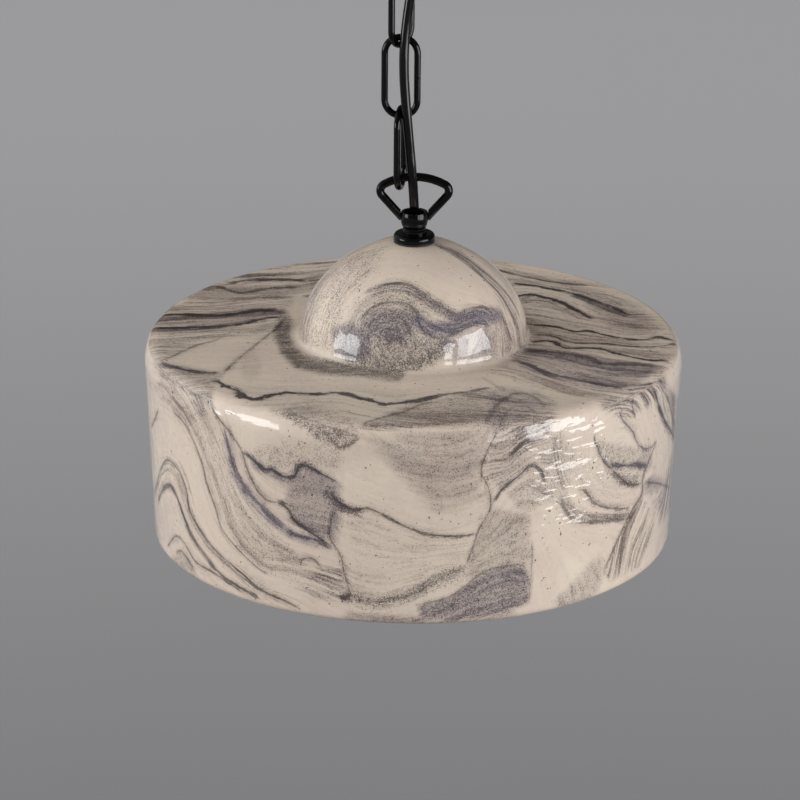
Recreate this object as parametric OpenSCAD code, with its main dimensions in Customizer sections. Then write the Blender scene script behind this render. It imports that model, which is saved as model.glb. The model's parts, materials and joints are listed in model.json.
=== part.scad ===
// Ceramic pendant light on a short chain, with its ceiling rose, flex, lampholder and bulb.
// Millimetres, +Z up, origin on the ceiling plane on the lamp's axis.

/* [Shade] */
// Outside diameter at the widest, just under the top edge
shade_d = 320; // [260:1:400]
// Outside diameter at the foot
shade_foot_d = 310; // [250:1:400]
// Height of the side wall, from the flat top to the foot
shade_h = 124; // [115:1:180]
// Thickness of the clay
shade_wall = 7; // [5:0.5:9]
// Rounding of the top outer edge
shade_edge_r = 9; // [5:0.5:16]
// Rounding of the foot's outer edge
shade_foot_r = 4.5; // [2:0.5:6]
// Rounding of the foot's inner edge
shade_lip_r = 1.5; // [0.5:0.5:3]
// Diameter of the dome where it meets the flat top
dome_d = 136; // [120:1:170]
// Height of the dome above the flat top
dome_h = 59; // [54:0.5:70]
// Radius of the dome's lower arc
dome_side_r = 48; // [42:1:50]
// Fillet between the dome and the flat top
dome_fillet = 4; // [2:0.5:8]

/* [Hook] */
// Outside width of the hook ring
ring_w = 45.3; // [40:0.1:56]
// Wire thickness of the hook ring
ring_wire = 5; // [3.5:0.1:5.2]
// Radius of the ring's arched bar, at the wire's middle
ring_bar_r = 37; // [30:0.5:60]
// Radius of the ring's two shoulders, at the wire's middle
ring_shoulder_r = 4.5; // [3.5:0.1:6]
// Height of the bar's middle above the flange's underside
ring_rise = 38.5; // [36:0.5:50]
// Height above the cup's foot at which the ring's legs meet the cup
leg_z = 5.8; // [5:0.1:6.5]
// Widest diameter of the cup
cup_d = 16.4; // [15.5:0.1:20]
// Height of the cup
cup_h = 9.5; // [9:0.1:14]
// Radius of the cup's rounded side
cup_side_r = 14; // [12:0.5:20]
// Height of the cup's widest point above its foot
cup_belly_z = 6; // [5:0.1:7]
// Bore of the cup's mouth
cup_mouth_d = 12.4; // [11:0.1:13]
// Thickness of the cup's base
cup_base = 3.5; // [3:0.1:5]
// Diameter of the collar under the cup
collar_d = 14.8; // [13.8:0.1:18]
// Height of the collar
collar_h = 3.3; // [2.5:0.1:6]
// Depth of the groove at the collar's top
collar_groove = 0.8; // [0.3:0.1:1]
// Diameter of the flange
flange_d = 24.5; // [22:0.5:32]
// Height of the flange
flange_h = 4.4; // [3:0.1:7]
// Rounding of the flange's shoulder
flange_shoulder_r = 2.4; // [1:0.1:2.8]

/* [Chain] */
// Outside length of a link
link_l = 51.5; // [46:0.5:62]
// Outside width of a link
link_w = 23.3; // [22:0.1:28]
// Wire thickness of a link
link_wire = 4; // [3.5:0.1:4.2]
// Width of the butt seam in a link's side
link_seam = 0.4; // [0.2:0.05:0.5]
// Distance from the lamp's axis to the chain, towards the left
chain_offset = 8.5; // [0:0.5:11]
// Play between a link and what it hangs on
chain_play = 0.3; // [0.3:0.05:0.6]

/* [Flex] */
// Diameter of the round flex
cord_d = 5.7; // [5:0.1:6.2]
// Diameter of one insulated core
core_d = 2.2; // [1.8:0.1:2.4]

/* [Ceiling rose] */
// Outside diameter of the canopy
canopy_d = 100; // [92:1:140]
// Depth of the canopy
canopy_h = 26; // [25:0.5:40]
// Thickness of the canopy's steel
canopy_wall = 1; // [0.8:0.1:1.5]
// Rounding of the canopy's lower edge
canopy_edge_r = 6; // [2:0.5:8]
// Width of the ceiling bracket
bracket_w = 20; // [18:1:26]
// Thickness of the bracket's steel
bracket_t = 2; // [1.5:0.1:2]
// Step by which the bracket's ends stand below the ceiling
bracket_step = 4; // [3.5:0.1:6]
// Distance between the two ceiling slots
slot_spacing = 40; // [38:1:42]
// Width of a ceiling slot
slot_w = 4.5; // [4:0.1:5.5]
// Length of a ceiling slot
slot_l = 12; // [8:0.5:14]
// Distance between the two studs that hold the canopy
stud_spacing = 74; // [73:0.5:80]
// Thread diameter of the studs and of the earth screw
stud_d = 4; // [3.5:0.1:4.5]
// Length of a cap nut
cap_nut_h = 8; // [6:0.5:12]

/* [Threaded tubes] */
// Outside diameter of the threaded tubes
tube_d = 10; // [9.5:0.1:10.4]
// Bore of the threaded tubes
tube_bore = 6.8; // [6.6:0.1:8]
// Clearance on a plain hole that a tube passes through
tube_play = 0.4; // [0.2:0.1:0.8]
// Distance across the flats of the locknuts
nut_af = 14; // [13:0.5:17]
// Height of the locknuts
nut_h = 4; // [3:0.1:5]
// Diameter of the rubber gasket under the flange
gasket_d = 24; // [22:0.5:32]
// Thickness of the rubber gaskets
gasket_t = 1.2; // [0.8:0.1:2]
// Diameter of the steel washer inside the dome
washer_d = 28; // [22:0.5:30]
// Thickness of the steel washer
washer_t = 1.5; // [1:0.1:2.5]

/* [Lampholder] */
// Outside diameter of the lampholder
holder_d = 39; // [38.5:0.5:44]
// Wall of the lampholder's metal shells
holder_wall = 1.2; // [1:0.1:1.3]
// Length of the cap
holder_cap_l = 26; // [25:0.5:32]
// Length of the lower shell
holder_shell_l = 32; // [30:0.5:36]
// Diameter of the cap's threaded neck
holder_neck_d = 17; // [14:0.5:20]
// Length of the cap's threaded neck
holder_neck_l = 8; // [6:0.5:10]
// Bore of the brass screw shell
screw_shell_bore = 27.2; // [27.1:0.1:27.6]

/* [Bulb] */
// Diameter of the bulb's glass
bulb_d = 60; // [50:1:70]
// Length of the bulb from its contact to its far end
bulb_l = 105; // [98:1:112]
// Diameter of the bulb's screw cap
bulb_cap_d = 26.4; // [26:0.1:26.6]
// Radius of the hollow curve between the glass's neck and its ball
bulb_neck_curve = 40; // [30:1:50]
// Thickness of the glass
glass_t = 1; // [0.6:0.1:1.5]

/* [Hidden] */
$fn = 72;
steps = 16;             // points on each arc of an outline
thread_fit = 0.05;      // radial clearance of a piece on the thread that it is screwed to
seat_gap = 0.05;        // gap at the brazed ends of the ring's legs
cut_l = 20;             // length of a cutter that goes right through a thin wall
black = [0.03, 0.03, 0.035];
zinc = [0.72, 0.73, 0.75];
brass = [0.78, 0.62, 0.30];
clay = [0.83, 0.77, 0.70];
rubber = [0.05, 0.05, 0.055];
white = [0.92, 0.91, 0.88];

// Heights of the hook, measured from the flange's underside
collar_z = flange_h;
cup_z = collar_z + collar_h;
cup_floor_z = cup_z + cup_base;
cup_top_z = cup_z + cup_h;
bar_drop = ring_bar_r - sqrt(pow(ring_bar_r, 2) - pow(chain_offset, 2));
bar_slope = asin(chain_offset / ring_bar_r);

// Chain: how far the wires of two hooked pieces lie apart, middle to middle
link_pitch = link_l - link_wire;
link_bend_r = (link_w - link_wire) / 2;
link_reach = link_wire + chain_play;
hook_reach = ((ring_wire + link_wire) / 2 + chain_play) / cos(bar_slope);
chain_x = -chain_offset;
link_turn = [54, -8, 78];   // each link's turn about the vertical
twist_lift = 0.3;           // how far the turned top link rides up on the sloping bar

// Heights down from the ceiling
canopy_face_z = -canopy_h;
upper_bar_z = canopy_face_z - ring_rise + bar_drop;
link_1_z = upper_bar_z + hook_reach + twist_lift;
link_2_z = link_1_z - link_pitch + link_reach;
link_3_z = link_2_z - link_pitch + link_reach;
lower_bar_z = link_3_z - link_pitch + hook_reach;
lamp_flange_z = lower_bar_z + bar_drop - ring_rise;
seat_z = lamp_flange_z - gasket_t;

// Dome: a lower arc that starts upright at the flat top, and a flatter arc over it
dome_r = dome_d / 2;
dome_side_x = dome_r - dome_side_r;
dome_top_r = (pow(dome_side_x, 2) + pow(dome_h, 2) - pow(dome_side_r, 2)) / (2 * (dome_h - dome_side_r));
dome_top_z = dome_h - dome_top_r;
dome_join_a = atan2(-dome_top_z, dome_side_x);
outer_seat_r = max(flange_d, gasket_d) / 2 + 0.5;
inner_seat_r = washer_d / 2 + 1;
outer_seat_h = dome_top_z + sqrt(pow(dome_top_r, 2) - pow(outer_seat_r, 2));
inner_seat_h = dome_top_z + sqrt(pow(dome_top_r - shade_wall, 2) - pow(inner_seat_r, 2));
dome_fillet_x = dome_side_x + sqrt(pow(dome_side_r + dome_fillet, 2) - pow(dome_fillet, 2));
dome_fillet_a = asin(dome_fillet / (dome_side_r + dome_fillet));
shade_top_z = seat_z - outer_seat_h;
shade_bore_d = tube_d + 2 * tube_play;

// Side wall: the straight line that touches the edge's circle and the foot's circle
edge_c = [shade_d / 2 - shade_edge_r, -shade_edge_r];
foot_c = [shade_foot_d / 2 - shade_foot_r, -shade_h + shade_foot_r];
side_run = foot_c - edge_c;
side_a = atan2(side_run.y, side_run.x) + 90 - asin((shade_edge_r - shade_foot_r) / norm(side_run));
side_n = [cos(side_a), sin(side_a)];
side_c = side_n * edge_c + shade_edge_r;
inner_corner_r = max(shade_edge_r - shade_wall, 1);

// Inside the dome, downwards
inner_face_z = shade_top_z + inner_seat_h;
washer_z = inner_face_z - gasket_t - seat_gap / 2;
locknut_z = washer_z - washer_t;
holder_z = locknut_z - nut_h - 1;
tube_into_holder = holder_neck_l - 1;

// Lampholder, measured down from the top of its neck
holder_r = holder_d / 2;
insulator_r = holder_r - holder_wall - 1.2;
disc_top = holder_cap_l - 2;
disc_t = 9;
disc_bottom = disc_top + disc_t;
contact_l = 3.2;
shell_end = holder_cap_l + holder_shell_l;
lip_t = 1;
lip_bore = screw_shell_bore + 2.4;
sleeve_wall = 0.5;
sleeve_l = 19;
spigot_l = 5;
spigot_play = 0.1;

// Bulb, measured down from its contact
bulb_top_z = holder_z - disc_bottom - contact_l - 0.3;
bulb_r = bulb_d / 2;
bulb_ball_z = bulb_l - bulb_r;
cap_l = 23;
cap_start = 4.2;
neck_top_z = cap_l - 1;
cap_wall = 0.3;
neck_r = bulb_cap_d / 2 - cap_wall - 0.15;
neck_curve_r = bulb_neck_curve;
neck_curve_z = bulb_ball_z - sqrt(pow(bulb_r + neck_curve_r, 2) - pow(neck_r + neck_curve_r, 2));
neck_join_a = atan2(bulb_ball_z - neck_curve_z, neck_r + neck_curve_r);
stem_top = 47;
support_d = 0.8;
support_low = 42;
support_high = 84;
fan_low = 10;
fan_high = 6;

// Ceiling bracket
bracket_flat = 56;
bracket_end = stud_spacing + 10;
tab_w = 24;
block_tab_y = 32;
earth_tab_y = 28;
block_w = 20;
block_l = 16;
block_h = 12;
block_y = 14;
pole_x = 5;
pole_z = -bracket_t - 6.5;
pole_d = 4.6;
sleeve_bore = 3.2;
terminal_d = 2.6;
earth_y = -21;
tag_t = 0.8;
small_nut_af = 7;       // distance across the flats of the nuts on the studs
small_nut_h = 3.2;
grip_d = 16;
grip_l = 11;
tube_top_z = canopy_face_z + canopy_wall + nut_h + 3;
grip_z = tube_top_z - 2;
grip_top_z = grip_z + grip_l;
core_r = 1.7;

// The flex's free stretch, from inside the upper cup to inside the lamp's cup
cord_top_z = canopy_face_z - cup_top_z + 3.4;
cord_low_z = lamp_flange_z + cup_top_z - 3.4;
cord_points = [
    [0, 0, cord_top_z], [0, -0.5, -45], [-0.4, -2.6, -52], [-1.2, -5.4, -60],
    [-2.4, -6.8, -69], [-4, -7.2, -79], [-5.4, -7.4, -90], [-6.4, -7.8, -101],
    [-6.8, -8.2, -112], [-6.6, -8.2, -124], [-5.8, -8, -136], [-4.8, -7.8, -147],
    [-3.8, -7.4, -158], [-2.8, -7, -169], [-1.9, -6.7, -179], [-1.1, -6, -188],
    [-0.6, -3.8, -196], [-0.2, -1.2, -204], [0, 0, cord_low_z]
];

// The cores inside the rose: from the grip to the block's poles and to the earth tag
live_points = [
    [core_r, 0, grip_top_z], [core_r + 0.1, 0.3, grip_top_z + 0.8], [2.4, 1.4, grip_top_z + 1.6],
    [3.4, 4, grip_top_z + 2], [4.4, 8, grip_top_z + 1.7], [pole_x, 11, grip_top_z + 0.9],
    [pole_x, 13.5, pole_z], [pole_x, block_y + 6, pole_z]
];
neutral_points = [for (p = live_points) [-p.x, p.y, p.z]];
earth_points = [
    [0, -core_r, grip_top_z], [0, -core_r - 0.15, grip_top_z + 0.8], [0, -2.6, grip_top_z + 1.6],
    [0, -5, grip_top_z + 2.5], [0, -8.5, -5.4], [0, -12, -4.2],
    [0, earth_y + 6, -bracket_t - core_d / 2 - 0.1]
];

// The cores inside the lampholder's cap
cord_end_z = holder_z - holder_neck_l - 2;
terminal_x = 9;
terminal_head_h = 2.2;
core_end_z = holder_z - disc_top + terminal_head_h + core_d / 2 + 0.1;
lamp_live_points = [
    [core_r, 0, cord_end_z], [2.4, 0, cord_end_z - 3], [5, 0, cord_end_z - 6.5],
    [7.4, 0, core_end_z + 0.6], [terminal_x + 1, 0, core_end_z]
];
lamp_neutral_points = [for (p = lamp_live_points) [-p.x, p.y, p.z]];
lamp_earth_points = [
    [0, -core_r, cord_end_z], [0, -2.6, cord_end_z - 3], [0, -6, cord_end_z - 5],
    [0, -10, cord_end_z - 5.6], [0, -13.5, cord_end_z - 5.8]
];

// Points on an arc in an outline
function arc(c, r, a0, a1, n = steps) =
    [for (i = [0:n]) let (a = a0 + (a1 - a0) * i / n) c + r * [cos(a), sin(a)]];

// Centre of a rounding between the line side_n * p = reach and the level z
function corner(reach, z) = [(reach - side_n.y * z) / side_n.x, z];

function unit(v) = v / norm(v);

// Direction of a route at its point i
function heading(p, i) = unit(p[min(i + 1, len(p) - 1)] - p[max(i - 1, 0)]);

// A ring of points round point i of a route, started from the direction side; upright ends are cut level
function ring_points(p, i, r, n, side) =
    let (h = heading(p, i),
         end = i == 0 || i == len(p) - 1,
         d = end && abs(h.z) > 0.8 ? [0, 0, sign(h.z)] : h,
         u = unit(cross(d, side)),
         v = cross(d, u))
    [for (k = [0:n - 1]) p[i] + r * (cos(360 * k / n) * u + sin(360 * k / n) * v)];

// A round flex or core swept along a route as one closed skin
module sweep_route(p, d, n) {
    m = len(p);
    side = max([for (i = [0:m - 1]) abs(heading(p, i).y)]) > 0.8 ? [1, 0, 0] : [0, 1, 0];
    points = [for (i = [0:m - 1]) each ring_points(p, i, d / 2, n, side)];
    sides = [for (i = [0:m - 2], k = [0:n - 1], t = [0, 1])
        let (a = i * n + k, b = i * n + (k + 1) % n)
        t == 0 ? [a, a + n, b] : [b, a + n, b + n]];
    first = [for (k = [1:n - 2]) [0, k, k + 1]];
    last = [for (k = [1:n - 2]) [(m - 1) * n, (m - 1) * n + k + 1, (m - 1) * n + k]];
    polyhedron(points = points, faces = concat(sides, first, last), convexity = 6);
}

// A bent length of wire in the XZ plane
module wire_arc(c, r, d, a0, a1) {
    translate([c.x, 0, c.y]) rotate([90, 0, 0]) rotate([0, 0, a0])
        rotate_extrude(angle = a1 - a0) translate([r, 0]) circle(d = d, $fn = 32);
}

// A straight length of wire in the XZ plane
module wire_rod(p, q, d) {
    run = q - p;
    translate([p.x, 0, p.y]) rotate([0, 90 - atan2(run.y, run.x), 0])
        cylinder(h = norm(run), d = d, $fn = 32);
}

// A flat ring
module washer(d, bore, t) {
    difference() {
        cylinder(h = t, d = d);
        translate([0, 0, -1]) cylinder(h = t + 2, d = bore);
    }
}

// A hexagon nut; af is the distance across its flats
module hex_nut(af, bore, h) {
    difference() {
        cylinder(h = h, d = af / cos(30), $fn = 6);
        translate([0, 0, -1]) cylinder(h = h + 2, d = bore);
    }
}

// A threaded tube
module tube(l) {
    difference() {
        cylinder(h = l, d = tube_d);
        translate([0, 0, -1]) cylinder(h = l + 2, d = tube_bore);
    }
}

// A screw with a round slotted head; its head stands on z = 0 and its shank hangs below
module round_screw(head_d, head_h, shank_d, shank_l) {
    slot_deep = head_h * 0.45;
    difference() {
        union() {
            cylinder(h = head_h, d = head_d);
            translate([0, 0, -shank_l]) cylinder(h = shank_l + 0.01, d = shank_d);
        }
        translate([-head_d, -0.4, head_h - slot_deep]) cube([2 * head_d, 0.8, 2 * slot_deep]);
    }
}

// Outline of the cup's outside, from its foot up
function cup_side() = arc([cup_d / 2 - cup_side_r, cup_belly_z], cup_side_r,
    asin(-cup_belly_z / cup_side_r), asin((cup_h - cup_belly_z) / cup_side_r));

module hook_flange() {
    c = [flange_d / 2 - flange_shoulder_r, flange_h - flange_shoulder_r];
    bore_r = tube_d / 2 + tube_play / 2;
    color(black) rotate_extrude() polygon(concat(
        [[bore_r, 0], [flange_d / 2, 0]], arc(c, flange_shoulder_r, 0, 90), [[bore_r, flange_h]]));
}

module hook_collar() {
    bore_r = tube_d / 2 + tube_play / 2;
    r = collar_d / 2;
    color(black) rotate_extrude() polygon([
        [bore_r, 0], [r, 0], [r, collar_h - 2 * collar_groove],
        [r - collar_groove, collar_h - collar_groove], [r - collar_groove, collar_h], [bore_r, collar_h]]);
}

module hook_cup() {
    rim = 0.6;
    thread_r = tube_d / 2 + thread_fit;
    color(black) rotate_extrude() polygon(concat([[thread_r, 0]], cup_side(), [[cup_mouth_d / 2 + rim, cup_h],
        [cup_mouth_d / 2, cup_h - rim], [cup_mouth_d / 2, cup_base], [thread_r, cup_base]]));
}

// The ring of bent wire: an arched bar, two tight shoulders and two legs brazed to the cup
module hook_ring() {
    bar_c = [0, ring_rise - ring_bar_r];
    shoulder_x = (ring_w - ring_wire) / 2 - ring_shoulder_r;
    bar_a = asin(shoulder_x / (ring_bar_r - ring_shoulder_r));
    shoulder_c = bar_c + (ring_bar_r - ring_shoulder_r) * [sin(bar_a), cos(bar_a)];
    leg_end = [cup_d / 2 - 1, cup_z + leg_z];
    leg_run = leg_end - shoulder_c;
    leg_a = atan2(leg_run.y, leg_run.x) + acos(ring_shoulder_r / norm(leg_run));
    right = concat([leg_end], arc(shoulder_c, ring_shoulder_r, leg_a, 90 - bar_a, 12));
    bar = arc(bar_c, ring_bar_r, 90 - bar_a, 90 + bar_a, 14);
    left = [for (i = [len(right) - 1:-1:0]) [-right[i].x, right[i].y]];
    middle = [for (i = [1:len(bar) - 2]) bar[i]];
    color(black) difference() {
        sweep_route([for (q = concat(right, middle, left)) [q.x, 0, q.y]], ring_wire, 20);
        cylinder(h = cup_top_z + 1, d = cup_d + 2 * seat_gap);
    }
}

// A link of bent wire whose upper bend's middle is at the origin, with a butt seam in one side
module chain_link() {
    x = link_bend_r;
    top_c = [0, -x];
    low_c = [0, x - link_pitch];
    color(black) difference() {
        union() {
            wire_arc(top_c, x, link_wire, 0, 180);
            wire_arc(low_c, x, link_wire, 180, 360);
            for (side = [-1, 1]) wire_rod([side * x, low_c.y], [side * x, top_c.y], link_wire);
        }
        translate([x - link_wire, -link_wire, -(link_pitch + link_seam) / 2])
            cube([2 * link_wire, 2 * link_wire, link_seam]);
    }
}

module place_link(i, z) {
    translate([chain_x, 0, z]) rotate([0, 0, link_turn[i]]) chain_link();
}

// Puts a piece of the hook under the canopy, upside down
module at_canopy(z = 0) {
    translate([0, 0, canopy_face_z - z]) mirror([0, 0, 1]) children();
}

// Puts a piece of the hook on the lamp
module at_lamp(z = 0) {
    translate([0, 0, lamp_flange_z + z]) children();
}

// A strip of flat steel with its two ends stepped down, and a tab to the back and to the front
module ceiling_bracket() {
    half = [[0, 0], [bracket_flat / 2, 0], [bracket_flat / 2 + bracket_step, -bracket_step],
        [bracket_end / 2, -bracket_step]];
    under = [for (i = [3:-1:0]) half[i] + [i == 1 || i == 2 ? -bracket_t * tan(22.5) : 0, -bracket_t]];
    color(zinc) difference() {
        union() {
            for (side = [0, 1]) mirror([side, 0, 0])
                translate([0, bracket_w / 2, 0]) rotate([90, 0, 0])
                    linear_extrude(bracket_w) polygon(concat(half, under));
            translate([-tab_w / 2, -earth_tab_y, -bracket_t])
                cube([tab_w, earth_tab_y + block_tab_y, bracket_t]);
        }
        for (side = [-1, 1]) {
            for (end = [-1, 1])
                translate([side * slot_spacing / 2 + end * (slot_l - slot_w) / 2, 0, -cut_l / 2])
                    cylinder(h = cut_l, d = slot_w);
            translate([side * slot_spacing / 2 - (slot_l - slot_w) / 2, -slot_w / 2, -cut_l / 2])
                cube([slot_l - slot_w, slot_w, cut_l]);
            translate([side * stud_spacing / 2, 0, -cut_l / 2])
                cylinder(h = cut_l, d = stud_d + 2 * thread_fit);
        }
        translate([0, earth_y, -cut_l / 2]) cylinder(h = cut_l, d = stud_d + 2 * thread_fit);
        translate([0, block_y + block_l / 2, -cut_l / 2]) cylinder(h = cut_l, d = 3 + 2 * thread_fit);
    }
}

module canopy_studs() {
    head_z = -bracket_step;
    shank_l = canopy_h - bracket_step + cap_nut_h * 0.6;
    color(zinc) for (side = [-1, 1]) translate([side * stud_spacing / 2, 0, head_z])
        round_screw(small_nut_af, bracket_step - 1.5, stud_d, shank_l);
}

module stud_nuts() {
    color(zinc) for (side = [-1, 1])
        translate([side * stud_spacing / 2, 0, -bracket_step - bracket_t - small_nut_h])
            hex_nut(small_nut_af, stud_d + 2 * thread_fit, small_nut_h);
}

module cap_nuts() {
    hex_h = cap_nut_h * 0.45;
    dome = 3.2;
    color(black) for (side = [-1, 1]) translate([side * stud_spacing / 2, 0, canopy_face_z])
        difference() {
            union() {
                translate([0, 0, -hex_h]) cylinder(h = hex_h, d = small_nut_af / cos(30), $fn = 6);
                mirror([0, 0, 1]) rotate_extrude() polygon(concat([[0, hex_h - 0.01], [dome, hex_h - 0.01]],
                    arc([0, cap_nut_h - dome], dome, 0, 90)));
            }
            translate([0, 0, -cap_nut_h * 0.7]) cylinder(h = cap_nut_h, d = stud_d + 2 * thread_fit);
        }
}

module canopy() {
    r = canopy_d / 2;
    e = canopy_edge_r;
    w = canopy_wall;
    inner_e = max(e - w, 0.5);
    color(black) difference() {
        rotate_extrude() polygon(concat(
            [[0, -canopy_h]], arc([r - e, -canopy_h + e], e, -90, 0),
            [[r, 0], [r - w, 0]], arc([r - w - inner_e, -canopy_h + w + inner_e], inner_e, 0, -90),
            [[0, -canopy_h + w]]));
        translate([0, 0, -canopy_h - 1]) cylinder(h = w + 2, d = tube_d + tube_play);
        for (side = [-1, 1]) translate([side * stud_spacing / 2, 0, -canopy_h - 1])
            cylinder(h = w + 2, d = stud_d + 0.5);
    }
}

module terminal_block() {
    top = -bracket_t;
    color(white) difference() {
        translate([-block_w / 2, block_y, top - block_h]) cube([block_w, block_l, block_h]);
        for (side = [-1, 1]) {
            translate([side * pole_x, block_y - 1, pole_z]) rotate([-90, 0, 0])
                cylinder(h = block_l + 2, d = pole_d + 0.1);
            for (y = [4, block_l - 4]) translate([side * pole_x, block_y + y, top - block_h - 1])
                cylinder(h = pole_z - top + block_h + 1, d = terminal_d + 0.8);
        }
        translate([0, block_y + block_l / 2, top - block_h - 1]) cylinder(h = block_h + 2, d = 3.2);
    }
}

module terminal_sleeves() {
    color(brass) for (side = [-1, 1]) difference() {
        translate([side * pole_x, block_y + 0.5, pole_z]) rotate([-90, 0, 0])
            cylinder(h = block_l - 1, d = pole_d);
        translate([side * pole_x, block_y, pole_z]) rotate([-90, 0, 0])
            cylinder(h = block_l, d = sleeve_bore);
        for (y = [4, block_l - 4]) translate([side * pole_x, block_y + y, pole_z - pole_d])
            cylinder(h = pole_d, d = terminal_d + 2 * thread_fit);
    }
}

module terminal_screws() {
    color(zinc) for (side = [-1, 1], y = [4, block_l - 4])
        translate([side * pole_x, block_y + y, -bracket_t - block_h + 1]) difference() {
            cylinder(h = pole_z - core_d / 2 - 0.1 + bracket_t + block_h - 1, d = terminal_d);
            translate([-terminal_d, -0.3, -0.1]) cube([2 * terminal_d, 0.6, 0.9]);
        }
}

module block_screw() {
    color(zinc) translate([0, block_y + block_l / 2, -bracket_t - block_h]) mirror([0, 0, 1])
        round_screw(5.5, 1.8, 3, block_h + bracket_t - 0.3);
}

module earth_tag() {
    color(brass) translate([0, earth_y, -bracket_t - tag_t]) difference() {
        union() {
            cylinder(h = tag_t, d = 8);
            translate([-1.4, 3, 0]) cube([2.8, 5, tag_t]);
        }
        translate([0, 0, -1]) cylinder(h = tag_t + 2, d = stud_d + 0.3);
        translate([-core_d / 2 - 0.05, 5.6, -1]) cube([core_d + 0.1, 3, tag_t + 2]);
    }
}

module earth_screw() {
    color(brass) translate([0, earth_y, -bracket_t - tag_t]) mirror([0, 0, 1])
        round_screw(7, 2.4, stud_d, bracket_t + tag_t - 0.2);
}

module top_core_live() {
    color("saddlebrown") sweep_route(live_points, core_d, 8);
}

module top_core_neutral() {
    color("royalblue") sweep_route(neutral_points, core_d, 8);
}

module top_core_earth() {
    color("limegreen") sweep_route(earth_points, core_d, 8);
}

// A moulded nipple on the canopy's tube, whose side screw grips the flex
module cord_grip() {
    thread_l = 4;
    color(white) translate([0, 0, grip_z]) difference() {
        cylinder(h = grip_l, d = grip_d);
        translate([0, 0, -1]) cylinder(h = thread_l + 1, d = tube_d + 2 * thread_fit);
        cylinder(h = grip_l + 1, d = cord_d + 0.3);
        translate([-grip_d, 0, grip_l - 3.5]) rotate([0, 90, 0]) cylinder(h = grip_d, d = 3 + 2 * thread_fit);
    }
}

module grip_screw() {
    l = grip_d / 2 - cord_d / 2;
    color(white) translate([-grip_d / 2 - 1, 0, grip_z + grip_l - 3.5]) rotate([0, 90, 0]) difference() {
        cylinder(h = l + 0.9, d = 3);
        translate([-3, -0.3, -0.1]) cube([6, 0.6, 1]);
    }
}

module top_cord_end() {
    color(rubber) translate([0, 0, cord_top_z]) cylinder(h = grip_top_z - cord_top_z, d = cord_d, $fn = 24);
}

module canopy_locknut() {
    color(zinc) translate([0, 0, canopy_face_z + canopy_wall])
        hex_nut(nut_af, tube_d + 2 * thread_fit, nut_h);
}

module canopy_tube() {
    low = canopy_face_z - cup_floor_z + 0.3;
    color(zinc) translate([0, 0, low]) tube(tube_top_z - low);
}

module power_cord() {
    color(rubber) sweep_route(cord_points, cord_d, 12);
}

module top_gasket() {
    color(rubber) translate([0, 0, seat_z]) washer(gasket_d, shade_bore_d, gasket_t);
}

// The slab-built shade: a flat-topped drum with a dome on it, open below
module ceramic_shade() {
    w = shade_wall;
    bore = shade_bore_d / 2;
    side_c2 = [dome_side_x, 0];
    top_c = [0, dome_top_z];
    fillet_c = [dome_fillet_x, dome_fillet];
    corner_c = corner(side_c - w - inner_corner_r, -w - inner_corner_r);
    lip_c = corner(side_c - w + shade_lip_r, -shade_h + shade_lip_r);
    color(clay) translate([0, 0, shade_top_z]) rotate_extrude($fn = 180) polygon(concat(
        [[bore, outer_seat_h]],
        arc(top_c, dome_top_r, acos(outer_seat_r / dome_top_r), dome_join_a),
        arc(side_c2, dome_side_r, dome_join_a, dome_fillet_a),
        arc(fillet_c, dome_fillet, 180 + dome_fillet_a, 270),
        arc(edge_c, shade_edge_r, 90, side_a),
        arc(foot_c, shade_foot_r, side_a, -90),
        arc(lip_c, shade_lip_r, -90, -180 + side_a),
        arc(corner_c, inner_corner_r, side_a, 90),
        arc(fillet_c, dome_fillet + w, 270, 180 + dome_fillet_a),
        arc(side_c2, dome_side_r - w, dome_fillet_a, dome_join_a),
        arc(top_c, dome_top_r - w, dome_join_a, acos(inner_seat_r / (dome_top_r - w))),
        [[bore, inner_seat_h]]));
}

module inner_gasket() {
    color(rubber) translate([0, 0, washer_z]) washer(washer_d - 2, shade_bore_d, gasket_t);
}

module inner_washer() {
    color(zinc) translate([0, 0, locknut_z]) washer(washer_d, tube_d + tube_play, washer_t);
}

module lamp_locknut() {
    color(zinc) translate([0, 0, locknut_z - nut_h]) hex_nut(nut_af, tube_d + 2 * thread_fit, nut_h);
}

module lamp_tube() {
    low = holder_z - tube_into_holder;
    color(zinc) translate([0, 0, low]) tube(lamp_flange_z + cup_floor_z - 0.3 - low);
}

// Draws an outline of the lampholder, whose z runs down from the neck's top
module holder_turned() {
    translate([0, 0, holder_z]) mirror([0, 0, 1]) rotate_extrude() children();
}

module holder_cap() {
    w = holder_wall;
    neck = holder_neck_d / 2;
    shoulder_r = 11;
    bore = tube_d / 2 + thread_fit;
    inner_c = [holder_r - shoulder_r, holder_neck_l + shoulder_r];
    color(black) difference() {
        holder_turned() polygon(concat(
            [[bore, 0], [neck, 0], [neck, holder_neck_l]],
            arc(inner_c, shoulder_r, -90, 0),
            [[holder_r, holder_cap_l], [holder_r - w, holder_cap_l]],
            arc(inner_c, shoulder_r - w, 0, -90),
            [[bore, holder_neck_l + w]]));
        translate([0, 0, holder_z - holder_neck_l / 2]) rotate([0, 90, 0])
            cylinder(h = holder_neck_d, d = 3 + 2 * thread_fit);
    }
}

module holder_grub_screw() {
    l = (holder_neck_d - tube_d) / 2 - 0.1;
    color(zinc) translate([tube_d / 2 + 0.1, 0, holder_z - holder_neck_l / 2]) rotate([0, 90, 0])
        difference() {
            cylinder(h = l, d = 3);
            translate([-3, -0.3, l - 0.9]) cube([6, 0.6, 1]);
        }
}

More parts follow.
